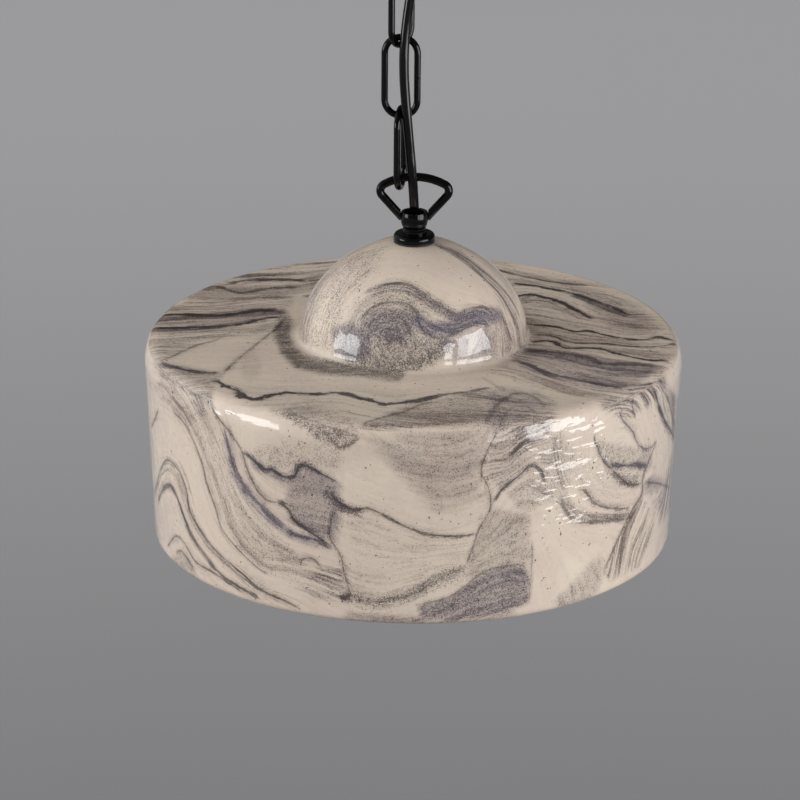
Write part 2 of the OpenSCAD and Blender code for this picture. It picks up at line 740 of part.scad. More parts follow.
module holder_shell() {
    w = holder_wall;
    spigot_r = holder_r - w - spigot_play;
    spigot_bore_r = spigot_r - w + spigot_play;
    color(black) holder_turned() polygon([
        [holder_r, holder_cap_l], [holder_r, shell_end - 1.5], [holder_r - 1.5, shell_end],
        [lip_bore / 2, shell_end], [lip_bore / 2, shell_end - lip_t], [insulator_r + 0.1, shell_end - lip_t],
        [holder_r - w, shell_end - lip_t - 0.8],
        [holder_r - w, holder_cap_l + 3], [spigot_bore_r, holder_cap_l + 1.5],
        [spigot_bore_r, holder_cap_l - spigot_l], [spigot_r, holder_cap_l - spigot_l],
        [spigot_r, holder_cap_l]]);
}

module holder_insulator() {
    low = shell_end - lip_t;
    skirt_bore = screw_shell_bore / 2 + sleeve_wall + 0.1;
    r = insulator_r - 0.1;
    color(white) difference() {
        holder_turned() polygon([
            [0, disc_top], [r, disc_top], [r, low], [skirt_bore, low],
            [skirt_bore, disc_bottom], [0, disc_bottom]]);
        for (side = [-1, 1]) translate([side * terminal_x, 0, holder_z - disc_top - 6])
            cylinder(h = 7, d = 3 + 2 * thread_fit);
    }
}

module holder_screw_shell() {
    r = screw_shell_bore / 2;
    color(brass) holder_turned() polygon([
        [7, disc_bottom], [r + sleeve_wall, disc_bottom], [r + sleeve_wall, disc_bottom + sleeve_l],
        [r, disc_bottom + sleeve_l], [r, disc_bottom + sleeve_wall], [7, disc_bottom + sleeve_wall]]);
}

module holder_contact() {
    r = 4.5;
    color(brass) holder_turned() polygon(concat(
        [[0, disc_bottom], [r, disc_bottom]],
        arc([r - 1.5, disc_bottom + contact_l - 1.5], 1.5, 0, 90), [[0, disc_bottom + contact_l]]));
}

module holder_terminals() {
    color(brass) for (side = [-1, 1]) translate([side * terminal_x, 0, holder_z - disc_top])
        round_screw(5.5, terminal_head_h, 3, 5.5);
}

module lamp_cord_end() {
    color(rubber) translate([0, 0, cord_end_z]) cylinder(h = cord_low_z - cord_end_z, d = cord_d, $fn = 24);
}

module lamp_core_live() {
    color("saddlebrown") sweep_route(lamp_live_points, core_d, 8);
}

module lamp_core_neutral() {
    color("royalblue") sweep_route(lamp_neutral_points, core_d, 8);
}

module lamp_core_earth() {
    color("limegreen") sweep_route(lamp_earth_points, core_d, 8);
}

// Draws an outline of the bulb, whose z runs down from its contact
module bulb_turned() {
    translate([0, 0, bulb_top_z]) mirror([0, 0, 1]) rotate_extrude() children();
}

module bulb_glass() {
    neck_c = [neck_r + neck_curve_r, neck_curve_z];
    ball_c = [0, bulb_ball_z];
    t = glass_t;
    color([0.95, 0.97, 1, 0.35]) bulb_turned() polygon(concat(
        [[neck_r - t, neck_top_z], [neck_r, neck_top_z]],
        arc(neck_c, neck_curve_r, 180, 180 - neck_join_a),
        arc(ball_c, bulb_r, -neck_join_a, 90, 2 * steps),
        arc(ball_c, bulb_r - t, 90, -neck_join_a, 2 * steps),
        arc(neck_c, neck_curve_r + t, 180 - neck_join_a, 180)));
}

// The screw cap, with its rolled thread as rounded rings
module bulb_cap() {
    r = bulb_cap_d / 2;
    root = r - 1;
    pitch = 3.6;
    turns = 4;
    first = cap_start + 1.6;
    outside = [for (i = [0:turns * 8])
        [root + (r - root) * (1 - cos(360 * i / 8)) / 2, first + pitch * i / 8]];
    color(zinc) bulb_turned() polygon(concat(
        [[root - 2.4, cap_start]], outside, [[r, first + pitch * turns + 0.8], [r, cap_l + 3],
        [r - cap_wall, cap_l + 3], [r - cap_wall, neck_top_z - 0.4],
        [root - 0.6, first + pitch * turns], [root - 0.6, first], [root - 2.4, cap_start + 0.4]]));
}

module bulb_insulator() {
    top = 1;
    color([0.06, 0.05, 0.05]) bulb_turned() polygon([
        [0, top], [4.8, top], [bulb_cap_d / 2 - 3.8, cap_start - 0.1], [bulb_cap_d / 2 - 3.8, cap_start + 1],
        [0, cap_start + 1]]);
}

module bulb_tip() {
    color(zinc) bulb_turned() polygon([[0, 0], [3.4, 0], [4.6, 0.6], [4.6, 1], [0, 1]]);
}

// The glass stem that closes the neck and carries the supports
module bulb_stem() {
    flare = neck_r - glass_t - 0.1;
    foot = neck_top_z;
    color([0.95, 0.97, 1, 0.35]) bulb_turned() polygon(concat(
        [[0, foot], [flare, foot], [flare, foot + 1]],
        arc([flare, foot + 9], 8, -90, -165, 8),
        [[3.5, stem_top - 3], [2.6, stem_top], [0, stem_top]]));
}

// Two crosses of support wire, one on the stem and one on the mast above it
module bulb_supports() {
    color(zinc) translate([0, 0, bulb_top_z]) mirror([0, 0, 1]) difference() {
        union() {
            translate([0, 0, stem_top]) cylinder(h = support_high - stem_top, d = 1.2, $fn = 24);
            for (turn = [0:90:270]) rotate([0, 0, turn]) {
                translate([3, 0, support_low]) rotate([0, 90, 0])
                    cylinder(h = fan_low - 3, d = support_d, $fn = 24);
                translate([0, 0, support_high - 0.6]) rotate([0, 90, 0])
                    cylinder(h = fan_high, d = support_d, $fn = 24);
            }
        }
        cylinder(h = support_low + 3, r = 3.6);
    }
}

module bulb_filaments() {
    low = support_low + support_d;
    run = support_high - 0.6 - support_d - low;
    lean = atan2(fan_low - fan_high, run);
    color([0.95, 0.85, 0.45]) translate([0, 0, bulb_top_z]) mirror([0, 0, 1])
        for (turn = [0:90:270]) rotate([0, 0, turn])
            translate([fan_low - 1, 0, low]) rotate([0, -lean, 0])
                cylinder(h = run, d = 1.8, $fn = 24);
}

ceiling_bracket();
canopy_studs();
stud_nuts();
cap_nuts();
canopy();
terminal_block();
terminal_sleeves();
terminal_screws();
block_screw();
earth_tag();
earth_screw();
top_core_live();
top_core_neutral();
top_core_earth();
cord_grip();
grip_screw();
top_cord_end();
canopy_locknut();
canopy_tube();
at_canopy() hook_flange();  // upper_flange
at_canopy(collar_z) hook_collar();  // upper_collar
at_canopy(cup_z) hook_cup();  // upper_cup
at_canopy() hook_ring();  // upper_ring
place_link(0, link_1_z);  // chain_link_1
place_link(1, link_2_z);  // chain_link_2
place_link(2, link_3_z);  // chain_link_3
power_cord();
at_lamp() hook_ring();  // lamp_ring
at_lamp(cup_z) hook_cup();  // lamp_cup
at_lamp(collar_z) hook_collar();  // lamp_collar
at_lamp() hook_flange();  // lamp_flange
top_gasket();
ceramic_shade();
inner_gasket();
inner_washer();
lamp_locknut();
lamp_tube();
holder_cap();
holder_grub_screw();
holder_shell();
holder_insulator();
holder_screw_shell();
holder_contact();
holder_terminals();
lamp_cord_end();
lamp_core_live();
lamp_core_neutral();
lamp_core_earth();
bulb_glass();
bulb_cap();
bulb_insulator();
bulb_tip();
bulb_stem();
bulb_supports();
bulb_filaments();
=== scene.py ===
"""Looks of the ceramic pendant light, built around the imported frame. Metres, +Z up, ceiling at z = 0."""
import json
import math
from collections import namedtuple

import bmesh
import bpy
import numpy as np
from mathutils import Matrix, Vector, noise
from mathutils.bvhtree import BVHTree


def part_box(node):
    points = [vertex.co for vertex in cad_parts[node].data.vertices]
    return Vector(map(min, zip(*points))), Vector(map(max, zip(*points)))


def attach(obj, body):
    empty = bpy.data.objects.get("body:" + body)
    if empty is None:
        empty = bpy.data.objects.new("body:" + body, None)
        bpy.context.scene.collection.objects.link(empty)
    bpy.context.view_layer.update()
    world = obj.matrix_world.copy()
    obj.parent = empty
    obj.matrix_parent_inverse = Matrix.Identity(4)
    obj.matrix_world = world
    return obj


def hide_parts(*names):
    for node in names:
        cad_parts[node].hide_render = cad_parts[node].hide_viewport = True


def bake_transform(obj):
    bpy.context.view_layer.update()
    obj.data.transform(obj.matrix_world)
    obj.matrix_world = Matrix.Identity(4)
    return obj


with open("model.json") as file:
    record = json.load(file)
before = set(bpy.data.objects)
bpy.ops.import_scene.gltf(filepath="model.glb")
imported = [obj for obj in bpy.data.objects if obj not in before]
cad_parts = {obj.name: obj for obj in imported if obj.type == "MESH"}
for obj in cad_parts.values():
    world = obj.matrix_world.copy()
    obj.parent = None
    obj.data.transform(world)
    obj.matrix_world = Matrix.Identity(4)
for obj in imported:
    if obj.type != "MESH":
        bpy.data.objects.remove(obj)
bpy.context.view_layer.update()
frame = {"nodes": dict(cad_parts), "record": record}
nodes = frame["nodes"]

MM = 0.001

# Height of the drum's flat top, below the dome's seat
DOME_RISE = 57.857 * MM
DRUM_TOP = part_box("ceramic_shade")[1][2] - DOME_RISE

# Camera, fitted to the shade's outline: lengths in pixels of the photograph, aimed at the flat top's middle
PHOTO = 800.0
FOCAL = 4711.0
AIM = Vector((412.8, 333.8))
ROLL = 0.0087
SENSOR = 36
SIGHT_ELEVATION = math.radians(19.0)
SIGHT_DISTANCE = 2.8


def camera_axes():
    """The camera's place and its right, up and forward directions."""
    back = Vector((0, -math.cos(SIGHT_ELEVATION), math.sin(SIGHT_ELEVATION)))
    place = Vector((0, 0, DRUM_TOP)) + back * SIGHT_DISTANCE
    side = Vector((1, 0, 0))
    ahead = -back
    up = side.cross(ahead)
    pitch = math.atan((PHOTO / 2 - AIM.y) / FOCAL)
    ahead = ahead * math.cos(pitch) - up * math.sin(pitch)
    up = side.cross(ahead)
    yaw = math.atan((AIM.x - PHOTO / 2) / FOCAL * math.cos(pitch))
    ahead = ahead * math.cos(yaw) - side * math.sin(yaw)
    side = ahead.cross(up)
    right = side * math.cos(ROLL) + up * math.sin(ROLL)
    top = up * math.cos(ROLL) - side * math.sin(ROLL)
    return place, right, top, ahead


EYE, EYE_RIGHT, EYE_UP, EYE_AHEAD = camera_axes()


def make_camera():
    data = bpy.data.cameras.new("camera")
    data.sensor_width = SENSOR
    data.lens = FOCAL / PHOTO * data.sensor_width
    data.clip_start = 0.1
    data.clip_end = 60
    camera = bpy.data.objects.new("camera", data)
    turn = Matrix((EYE_RIGHT, EYE_UP, -EYE_AHEAD)).transposed()
    camera.matrix_world = Matrix.Translation(EYE) @ turn.to_4x4()
    bpy.context.scene.collection.objects.link(camera)
    bpy.context.scene.camera = camera


make_camera()


# The flex: one smooth route from the upper cup to the lamp's cup, past the chain
CORD_D = 5.7 * MM
CORD_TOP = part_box("power_cord")[1][2] / MM
CORD_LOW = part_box("power_cord")[0][2] / MM
CORD_ROUTE = [
    (0, 0, CORD_TOP), (0, -0.5, -45), (-0.4, -2.6, -52), (-1.2, -5.4, -60),
    (-2.4, -6.8, -69), (-4, -7.2, -79), (-5.4, -7.4, -90), (-6.4, -7.8, -101),
    (-6.8, -8.2, -112), (-6.6, -8.2, -124), (-5.8, -8, -136), (-4.8, -7.8, -147),
    (-3.8, -7.4, -158), (-2.8, -7, -169), (-1.9, -6.7, -179), (-1.1, -6, -188),
    (-0.6, -3.8, -196), (-0.2, -1.2, -204), (0, 0, CORD_LOW)]

# Heights at which the flex passes from one body to the next, and the bodies
CORD_CUTS = [-83, -126, -169]
CORD_BODIES = ["root", "link_1", "link_2", "link_3", "lamp"]
CORD_STEP = 2.0


def smooth_route(points, step):
    """Points on a smooth curve through the given ones."""
    p = [Vector(q) for q in points]
    p = [2 * p[0] - p[1]] + p + [2 * p[-1] - p[-2]]
    out = []
    for i in range(1, len(p) - 2):
        count = max(2, round((p[i + 1] - p[i]).length / step))
        for k in range(count):
            t = k / count
            out.append(0.5 * (2 * p[i] + (p[i + 1] - p[i - 1]) * t
                              + (2 * p[i - 1] - 5 * p[i] + 4 * p[i + 1] - p[i + 2]) * t * t
                              + (3 * p[i] - p[i - 1] - 3 * p[i + 1] + p[i + 2]) * t ** 3))
    return out + [p[-2]]


def tube_piece(name, points, diameter):
    """A round closed tube along the points, as a mesh in its place."""
    curve = bpy.data.curves.new(name, "CURVE")
    curve.dimensions = "3D"
    curve.bevel_depth = diameter / 2
    curve.bevel_resolution = 6
    curve.twist_mode = "MINIMUM"
    spline = curve.splines.new("POLY")
    spline.points.add(len(points) - 1)
    for place, p in zip(spline.points, points):
        place.co = (*p, 1)
    maker = bpy.data.objects.new(name + "_curve", curve)
    mesh = bpy.data.meshes.new_from_object(maker)
    bpy.data.objects.remove(maker)
    mesh.name = name
    bm = bmesh.new()
    bm.from_mesh(mesh)
    bmesh.ops.remove_doubles(bm, verts=bm.verts, dist=1e-7)
    ends = [edge for edge in bm.edges if edge.is_boundary]
    bmesh.ops.holes_fill(bm, edges=ends, sides=0)
    for edge in ends:
        edge.smooth = False
    bmesh.ops.recalc_face_normals(bm, faces=bm.faces)
    bm.to_mesh(mesh)
    bm.free()
    mesh.polygons.foreach_set("use_smooth", [len(f.vertices) == 4 for f in mesh.polygons])
    piece = bpy.data.objects.new(name, mesh)
    bpy.context.scene.collection.objects.link(piece)
    return piece


def make_flex(material):
    route = [p * MM for p in smooth_route(CORD_ROUTE, CORD_STEP)]
    ends = [0]
    for cut in CORD_CUTS:
        ends.append(min(range(len(route)), key=lambda i: abs(route[i].z - cut * MM)))
    ends.append(len(route) - 1)
    for i in range(len(CORD_BODIES) - 1):
        part = route[ends[i]:ends[i + 1] + 1]
        piece = tube_piece("flex_%d" % (i + 1), part, CORD_D)
        piece.data.materials.append(material)
        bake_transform(piece)
        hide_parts("power_cord")


class Nodes:
    """The nodes of a material or of the world, made one call at a time."""

    def __init__(self, tree):
        self.tree = tree
        self.tree.nodes.clear()

    def node(self, kind, **values):
        made = self.tree.nodes.new(kind)
        for key, value in values.items():
            setattr(made, key, value)
        return made

    def put(self, socket, value):
        if isinstance(value, bpy.types.NodeSocket):
            self.tree.links.new(value, socket)
        elif value is not None:
            socket.default_value = value

    def place(self):
        return self.node("ShaderNodeTexCoord").outputs["Object"]

    def stretched(self, scale):
        made = self.node("ShaderNodeMapping")
        self.put(made.inputs["Vector"], self.place())
        self.put(made.inputs["Scale"], scale)
        return made.outputs["Vector"]

    def noise(self, scale, detail=3.0, rough=0.5, where=None):
        made = self.node("ShaderNodeTexNoise")
        self.put(made.inputs["Vector"], where or self.place())
        self.put(made.inputs["Scale"], scale)
        self.put(made.inputs["Detail"], detail)
        self.put(made.inputs["Roughness"], rough)
        return made.outputs["Fac"]

    def strands(self, level, across, along, detail=3.0, rough=0.6, gain=3.0):
        """Streaks from 0 to 1 that follow a level: across is their number in a mm, along in a metre."""
        made = self.node("ShaderNodeTexNoise", noise_dimensions="4D")
        self.put(made.inputs["Vector"], self.stretched((along, along, along)))
        self.put(made.inputs["W"], self.math("MULTIPLY", level, across))
        self.put(made.inputs["Scale"], 1.0)
        self.put(made.inputs["Detail"], detail)
        self.put(made.inputs["Roughness"], rough)
        return self.spread(made.outputs["Fac"], gain)

    def spread(self, value, gain):
        """Widens a noise about its middle, kept between 0 and 1."""
        return self.math("MULTIPLY_ADD", value, gain, 0.5 - gain / 2, clamp=True)

    def ridge(self, value, half):
        """1 where a value crosses its middle, falling to 0 at half to either side."""
        off = self.math("ABSOLUTE", self.math("SUBTRACT", value, 0.5))
        return self.math("SUBTRACT", 1.0, self.step(off, 0.0, half))

    def math(self, how, a, b=0.5, c=None, clamp=False):
        made = self.node("ShaderNodeMath", operation=how, use_clamp=clamp)
        self.put(made.inputs[0], a)
        self.put(made.inputs[1], b)
        if c is not None:
            self.put(made.inputs[2], c)
        return made.outputs[0]

    def change(self, value, low, high, to_low, to_high, how="LINEAR"):
        """Even change from to_low to to_high as the value passes from low to high."""
        made = self.node("ShaderNodeMapRange", interpolation_type=how)
        self.put(made.inputs["Value"], value)
        self.put(made.inputs["From Min"], low)
        self.put(made.inputs["From Max"], high)
        self.put(made.inputs["To Min"], to_low)
        self.put(made.inputs["To Max"], to_high)
        return made.outputs["Result"]

    def step(self, value, low, high, to_low=0.0, to_high=1.0):
        """The same change with a soft start and end."""
        return self.change(value, low, high, to_low, to_high, "SMOOTHSTEP")

    def blend(self, amount, a, b):
        made = self.node("ShaderNodeMix", data_type="RGBA")
        self.put(made.inputs["Factor"], amount)
        self.put(made.inputs[6], a)
        self.put(made.inputs[7], b)
        return made.outputs[2]

    def attribute(self, name):
        """A number kept at each vertex."""
        return self.node("ShaderNodeAttribute", attribute_name=name).outputs["Fac"]

    def three(self, name):
        """Three numbers kept at each vertex."""
        made = self.node("ShaderNodeSeparateXYZ")
        self.put(made.inputs[0], self.node("ShaderNodeAttribute", attribute_name=name).outputs["Vector"])
        return made.outputs

    def bump(self, height, strength, distance):
        made = self.node("ShaderNodeBump")
        self.put(made.inputs["Height"], height)
        self.put(made.inputs["Strength"], strength)
        self.put(made.inputs["Distance"], distance)
        return made.outputs["Normal"]


class Shader(Nodes):
    """A material and its nodes."""

    def __init__(self, name):
        self.material = bpy.data.materials.new(name)
        self.material.use_nodes = True
        super().__init__(self.material.node_tree)
        self.output = self.node("ShaderNodeOutputMaterial")

    def finish(self, colour, roughness, normal=None, **sockets):
        made = self.node("ShaderNodeBsdfPrincipled")
        self.put(made.inputs["Base Color"], colour)
        self.put(made.inputs["Roughness"], roughness)
        self.put(made.inputs["Normal"], normal)
        for key, value in sockets.items():
            self.put(made.inputs[key.replace("_", " ")], value)
        self.tree.links.new(made.outputs["BSDF"], self.output.inputs["Surface"])
        return self.material


def satin_black():
    s = Shader("satin_black_metal")
    patch = s.noise(180, 4, 0.6)
    grain = s.noise(2600, 2, 0.5)
    colour = s.blend(patch, (0.0006, 0.0006, 0.0007, 1), (0.0013, 0.0013, 0.0014, 1))
    rough = s.step(patch, 0.3, 0.7, 0.09, 0.14)
    return s.finish(colour, rough, s.bump(grain, 0.06, 0.0001), Specular_IOR_Level=0.24)


def glossy_flex():
    s = Shader("glossy_black_flex")
    wave = s.noise(90, 2, 0.5)
    fine = s.noise(900, 3, 0.6)
    colour = s.blend(fine, (0.0007, 0.0007, 0.0008, 1), (0.0015, 0.0015, 0.0017, 1))
    rough = s.step(fine, 0.3, 0.7, 0.09, 0.13)
    return s.finish(colour, rough, s.bump(wave, 0.25, 0.0003), Specular_IOR_Level=0.3)


def metal(name, dark, light, rough_low, rough_high, stretch=(1, 1, 1)):
    s = Shader(name)
    cloud = s.noise(120, 4, 0.6)
    brushed = s.noise(1400, 3, 0.6, s.stretched(stretch))
    colour = s.blend(cloud, dark, light)
    rough = s.step(brushed, 0.3, 0.7, rough_low, rough_high)
    return s.finish(colour, rough, s.bump(brushed, 0.15, 0.0001), Metallic=1.0)


def plastic(name, dark, light, rough_low, rough_high, grain=1500, depth=0.1, specular=0.45):
    s = Shader(name)
    cloud = s.noise(90, 3, 0.5)
    fine = s.noise(grain, 2, 0.5)
    colour = s.blend(cloud, dark, light)
    rough = s.step(fine, 0.3, 0.7, rough_low, rough_high)
    return s.finish(colour, rough, s.bump(fine, depth, 0.0001), Specular_IOR_Level=specular)


def clear_glass():
    s = Shader("clear_glass")
    film = s.noise(60, 3, 0.5)
    colour = s.blend(film, (0.96, 0.97, 0.97, 1), (1, 1, 1, 1))
    wave = s.noise(25, 1, 0.5)
    return s.finish(colour, 0.02, s.bump(wave, 0.08, 0.0005), Transmission_Weight=1.0, IOR=1.45)


def filament():
    s = Shader("filament")
    bands = s.noise(1200, 1, 0.5, s.stretched((0.2, 0.2, 1)))
    colour = s.blend(bands, (0.85, 0.55, 0.12, 1), (0.95, 0.72, 0.28, 1))
    return s.finish(colour, 0.45, s.bump(bands, 0.3, 0.0002))


# Materials by the frame's slot names
FINISHES = {
    "black_metal": satin_black(),
    "zinc_steel": metal("zinc_steel", (0.26, 0.27, 0.29, 1), (0.38, 0.39, 0.41, 1), 0.34, 0.48, (1, 1, 6)),
    "brass": metal("brass", (0.60, 0.43, 0.17, 1), (0.72, 0.55, 0.25, 1), 0.22, 0.36, (1, 1, 4)),
    "black_flex": glossy_flex(),
    "brown_core": plastic("brown_core", (0.16, 0.06, 0.025, 1), (0.22, 0.09, 0.035, 1), 0.30, 0.42),
    "blue_core": plastic("blue_core", (0.02, 0.08, 0.36, 1), (0.03, 0.12, 0.45, 1), 0.30, 0.42),
    "earth_core": plastic("earth_core", (0.12, 0.38, 0.03, 1), (0.24, 0.48, 0.05, 1), 0.30, 0.42),
    "white_plastic": plastic("white_plastic", (0.76, 0.76, 0.73, 1), (0.82, 0.82, 0.80, 1), 0.42, 0.55),
    "porcelain": plastic("porcelain", (0.80, 0.79, 0.74, 1), (0.87, 0.86, 0.82, 1), 0.35, 0.5, 900, 0.2),
    "gasket_rubber": plastic("gasket_rubber", (0.010, 0.010, 0.010, 1), (0.018, 0.018, 0.018, 1),
                             0.65, 0.8, 1800, 0.3, 0.3),
    "clear_glass": clear_glass(),
    "cap_metal": metal("cap_metal", (0.60, 0.60, 0.61, 1), (0.72, 0.72, 0.73, 1), 0.25, 0.38),
    "black_glass": plastic("black_glass", (0.012, 0.010, 0.010, 1), (0.02, 0.018, 0.017, 1), 0.1, 0.18),
    "solder": metal("solder", (0.45, 0.45, 0.46, 1), (0.60, 0.60, 0.61, 1), 0.3, 0.45),
    "filament": filament(),
}


def finish_nodes():
    """Gives each of the frame's pieces the material of its slot."""
    for sub in frame["record"]["subparts"]:
        finish = FINISHES.get(sub["material_slot"])
        if finish:
            materials = nodes[sub["node"]].data.materials
            materials.clear()
            materials.append(finish)


finish_nodes()
make_flex(FINISHES["black_flex"])


# Shade in mm: the frame's outline, turned finely enough to carry the marbling
SHADE_WALL = 7.0
SHADE_R, FOOT_OUT_R, SHADE_DEEP = 160.0, 155.0, 124.0
EDGE_R, FOOT_R, LIP_R = 9.0, 4.5, 1.5
RIM_R, SHOULDER_R, SHOULDER_TURN = 8.0, 25.0, 0.35
DOME_R, DOME_H, DOME_SIDE_R, DOME_FILLET = 68.0, 59.0, 48.0, 4.0
BORE_R, SEAT_OUT_R, SEAT_IN_R = 5.4, 12.75, 15.0
OUTER_STEP, INNER_STEP = 2.2, 10.0
TURN_STEPS = 440
QUARTER = math.pi / 2


def arc(centre, radius, start, end, step):
    """Points on an arc, its angles in radians and its points about step mm apart."""
    count = max(3, math.ceil(abs(end - start) * radius / step))
    angles = [start + (end - start) * i / count for i in range(count + 1)]
    return [(centre[0] + radius * math.cos(a), centre[1] + radius * math.sin(a)) for a in angles]


def tangent(centre, radius, other, other_radius):
    """The angle at which a straight leaves one circle for a smaller one below it, touching both."""
    run = (other[0] - centre[0], other[1] - centre[1])
    return math.atan2(run[1], run[0]) + QUARTER - math.asin((radius - other_radius) / math.hypot(*run))


def shade_outline():
    """The clay's section in mm from the flat top: first its outer points, then its inner ones."""
    # Dome: a shallow cap, a rounder side and a fillet onto the flat top
    side_x = DOME_R - DOME_SIDE_R
    cap_r = (side_x ** 2 + DOME_H ** 2 - DOME_SIDE_R ** 2) / (2 * (DOME_H - DOME_SIDE_R))
    cap_c = (0, DOME_H - cap_r)
    side_c = (side_x, 0)
    join = math.atan2(-cap_c[1], side_x)
    fillet_c = (side_x + math.sqrt((DOME_SIDE_R + DOME_FILLET) ** 2 - DOME_FILLET ** 2), DOME_FILLET)
    fillet = math.asin(DOME_FILLET / (DOME_SIDE_R + DOME_FILLET))
    inside_r = cap_r - SHADE_WALL
    seat_out = cap_c[1] + math.sqrt(cap_r ** 2 - SEAT_OUT_R ** 2)
    seat_in = cap_c[1] + math.sqrt(inside_r ** 2 - SEAT_IN_R ** 2)

    # Rim: a small curve that eases through a wide one into the wall
    foot_c = (FOOT_OUT_R - FOOT_R, -SHADE_DEEP + FOOT_R)
    ease = SHOULDER_R - RIM_R
    shoulder_c = (SHADE_R - SHOULDER_R, -RIM_R - ease * math.sin(SHOULDER_TURN))
    rim_c = (shoulder_c[0] + ease * math.cos(SHOULDER_TURN), -RIM_R)
    wall = tangent(shoulder_c, SHOULDER_R, foot_c, FOOT_R)

    # Inside of the wall: parallel to the frame's outer face
    edge_c = (SHADE_R - EDGE_R, -EDGE_R)
    side = tangent(edge_c, EDGE_R, foot_c, FOOT_R)
    inner_r = EDGE_R - SHADE_WALL
    reach = math.cos(side) * edge_c[0] + math.sin(side) * edge_c[1] + inner_r

    def corner(distance, z):
        return ((distance - math.sin(side) * z) / math.cos(side), z)

    lip_c = corner(reach + LIP_R, -SHADE_DEEP + LIP_R)
    corner_c = corner(reach - inner_r, -SHADE_WALL - inner_r)

    fine = OUTER_STEP
    finest = OUTER_STEP / 2
    wide = INNER_STEP
    outer = [(BORE_R, seat_out)]
    outer += arc(cap_c, cap_r, math.acos(SEAT_OUT_R / cap_r), join, fine)
    outer += arc(side_c, DOME_SIDE_R, join, fillet, fine)
    outer += arc(fillet_c, DOME_FILLET, math.pi + fillet, 3 * QUARTER, fine)
    outer += arc(rim_c, RIM_R, QUARTER, SHOULDER_TURN, finest)
    outer += arc(shoulder_c, SHOULDER_R, SHOULDER_TURN, wall, finest)[1:]
    outer += arc(foot_c, FOOT_R, wall, -QUARTER, finest)
    inner = arc(lip_c, LIP_R, -QUARTER, -math.pi + side, finest)
    inner += arc(corner_c, inner_r, side, QUARTER, finest)
    inner += arc(fillet_c, DOME_FILLET + SHADE_WALL, 3 * QUARTER, math.pi + fillet, wide / 3)
    inner += arc(side_c, DOME_SIDE_R - SHADE_WALL, fillet, join, wide / 2)
    inner += arc(cap_c, inside_r, join, math.acos(SEAT_IN_R / inside_r), wide / 2)
    inner += [(BORE_R, seat_in)]
    return outer, inner


def spaced(points, step):
    """The same outline with its long straights cut to about step mm."""
    out = [points[0]]
    for (ax, az), (bx, bz) in zip(points, points[1:]):
        count = max(1, round(math.hypot(bx - ax, bz - az) / step))
        out += [(ax + (bx - ax) * i / count, az + (bz - az) * i / count) for i in range(1, count + 1)]
    return out


def turned_clay():
    """The clay as a mesh in mm from the flat top's middle, with a mark on its outer points."""
    outer, inner = shade_outline()
    outer = spaced(outer, OUTER_STEP)
    inner = spaced(inner, INNER_STEP)
    bm = bmesh.new()
    mark = bm.verts.layers.float.new("outer")
    ring = []
    for i, (r, z) in enumerate(outer + inner):
        vert = bm.verts.new((r, 0, z))
        vert[mark] = 1.0 if i < len(outer) else 0.0
        ring.append(vert)
    edges = [bm.edges.new((a, b)) for a, b in zip(ring, ring[1:] + ring[:1])]
    bmesh.ops.spin(bm, geom=ring + edges, cent=(0, 0, 0), axis=(0, 0, 1), dvec=(0, 0, 0),
                   angle=2 * math.pi, steps=TURN_STEPS, use_merge=True)
    bmesh.ops.remove_doubles(bm, verts=bm.verts, dist=1e-4)
    bmesh.ops.recalc_face_normals(bm, faces=bm.faces)
    bm.normal_update()
    return bm, mark


# Unevenness of the hand-made wall, in mm: its mean, its two lengths and where it fades at the bore
UNEVEN_MEAN = 0.45
UNEVEN_LONG, UNEVEN_SHORT = 55, 21
UNEVEN_FROM, UNEVEN_FADE = 20, 12


def hand_worked(bm, mark):
    """Presses the outer face in by up to a millimetre, unevenly, as a slab-built pot is."""
    apart = Vector((7, 3, 1))
    moves = []
    for vert in bm.verts:
        reach = (math.hypot(vert.co.x, vert.co.y) - UNEVEN_FROM) / UNEVEN_FADE
        spread = min(max(reach, 0), 1)
        wave = 0.6 * noise.noise(vert.co / UNEVEN_LONG) + 0.4 * noise.noise(vert.co / UNEVEN_SHORT + apart)
        moves.append(vert.normal * (-vert[mark] * spread * UNEVEN_MEAN * (1 + wave)))
    for vert, move in zip(bm.verts, moves):
        vert.co += move


Vein = namedtuple("Vein", "face width strength violet level pixels")

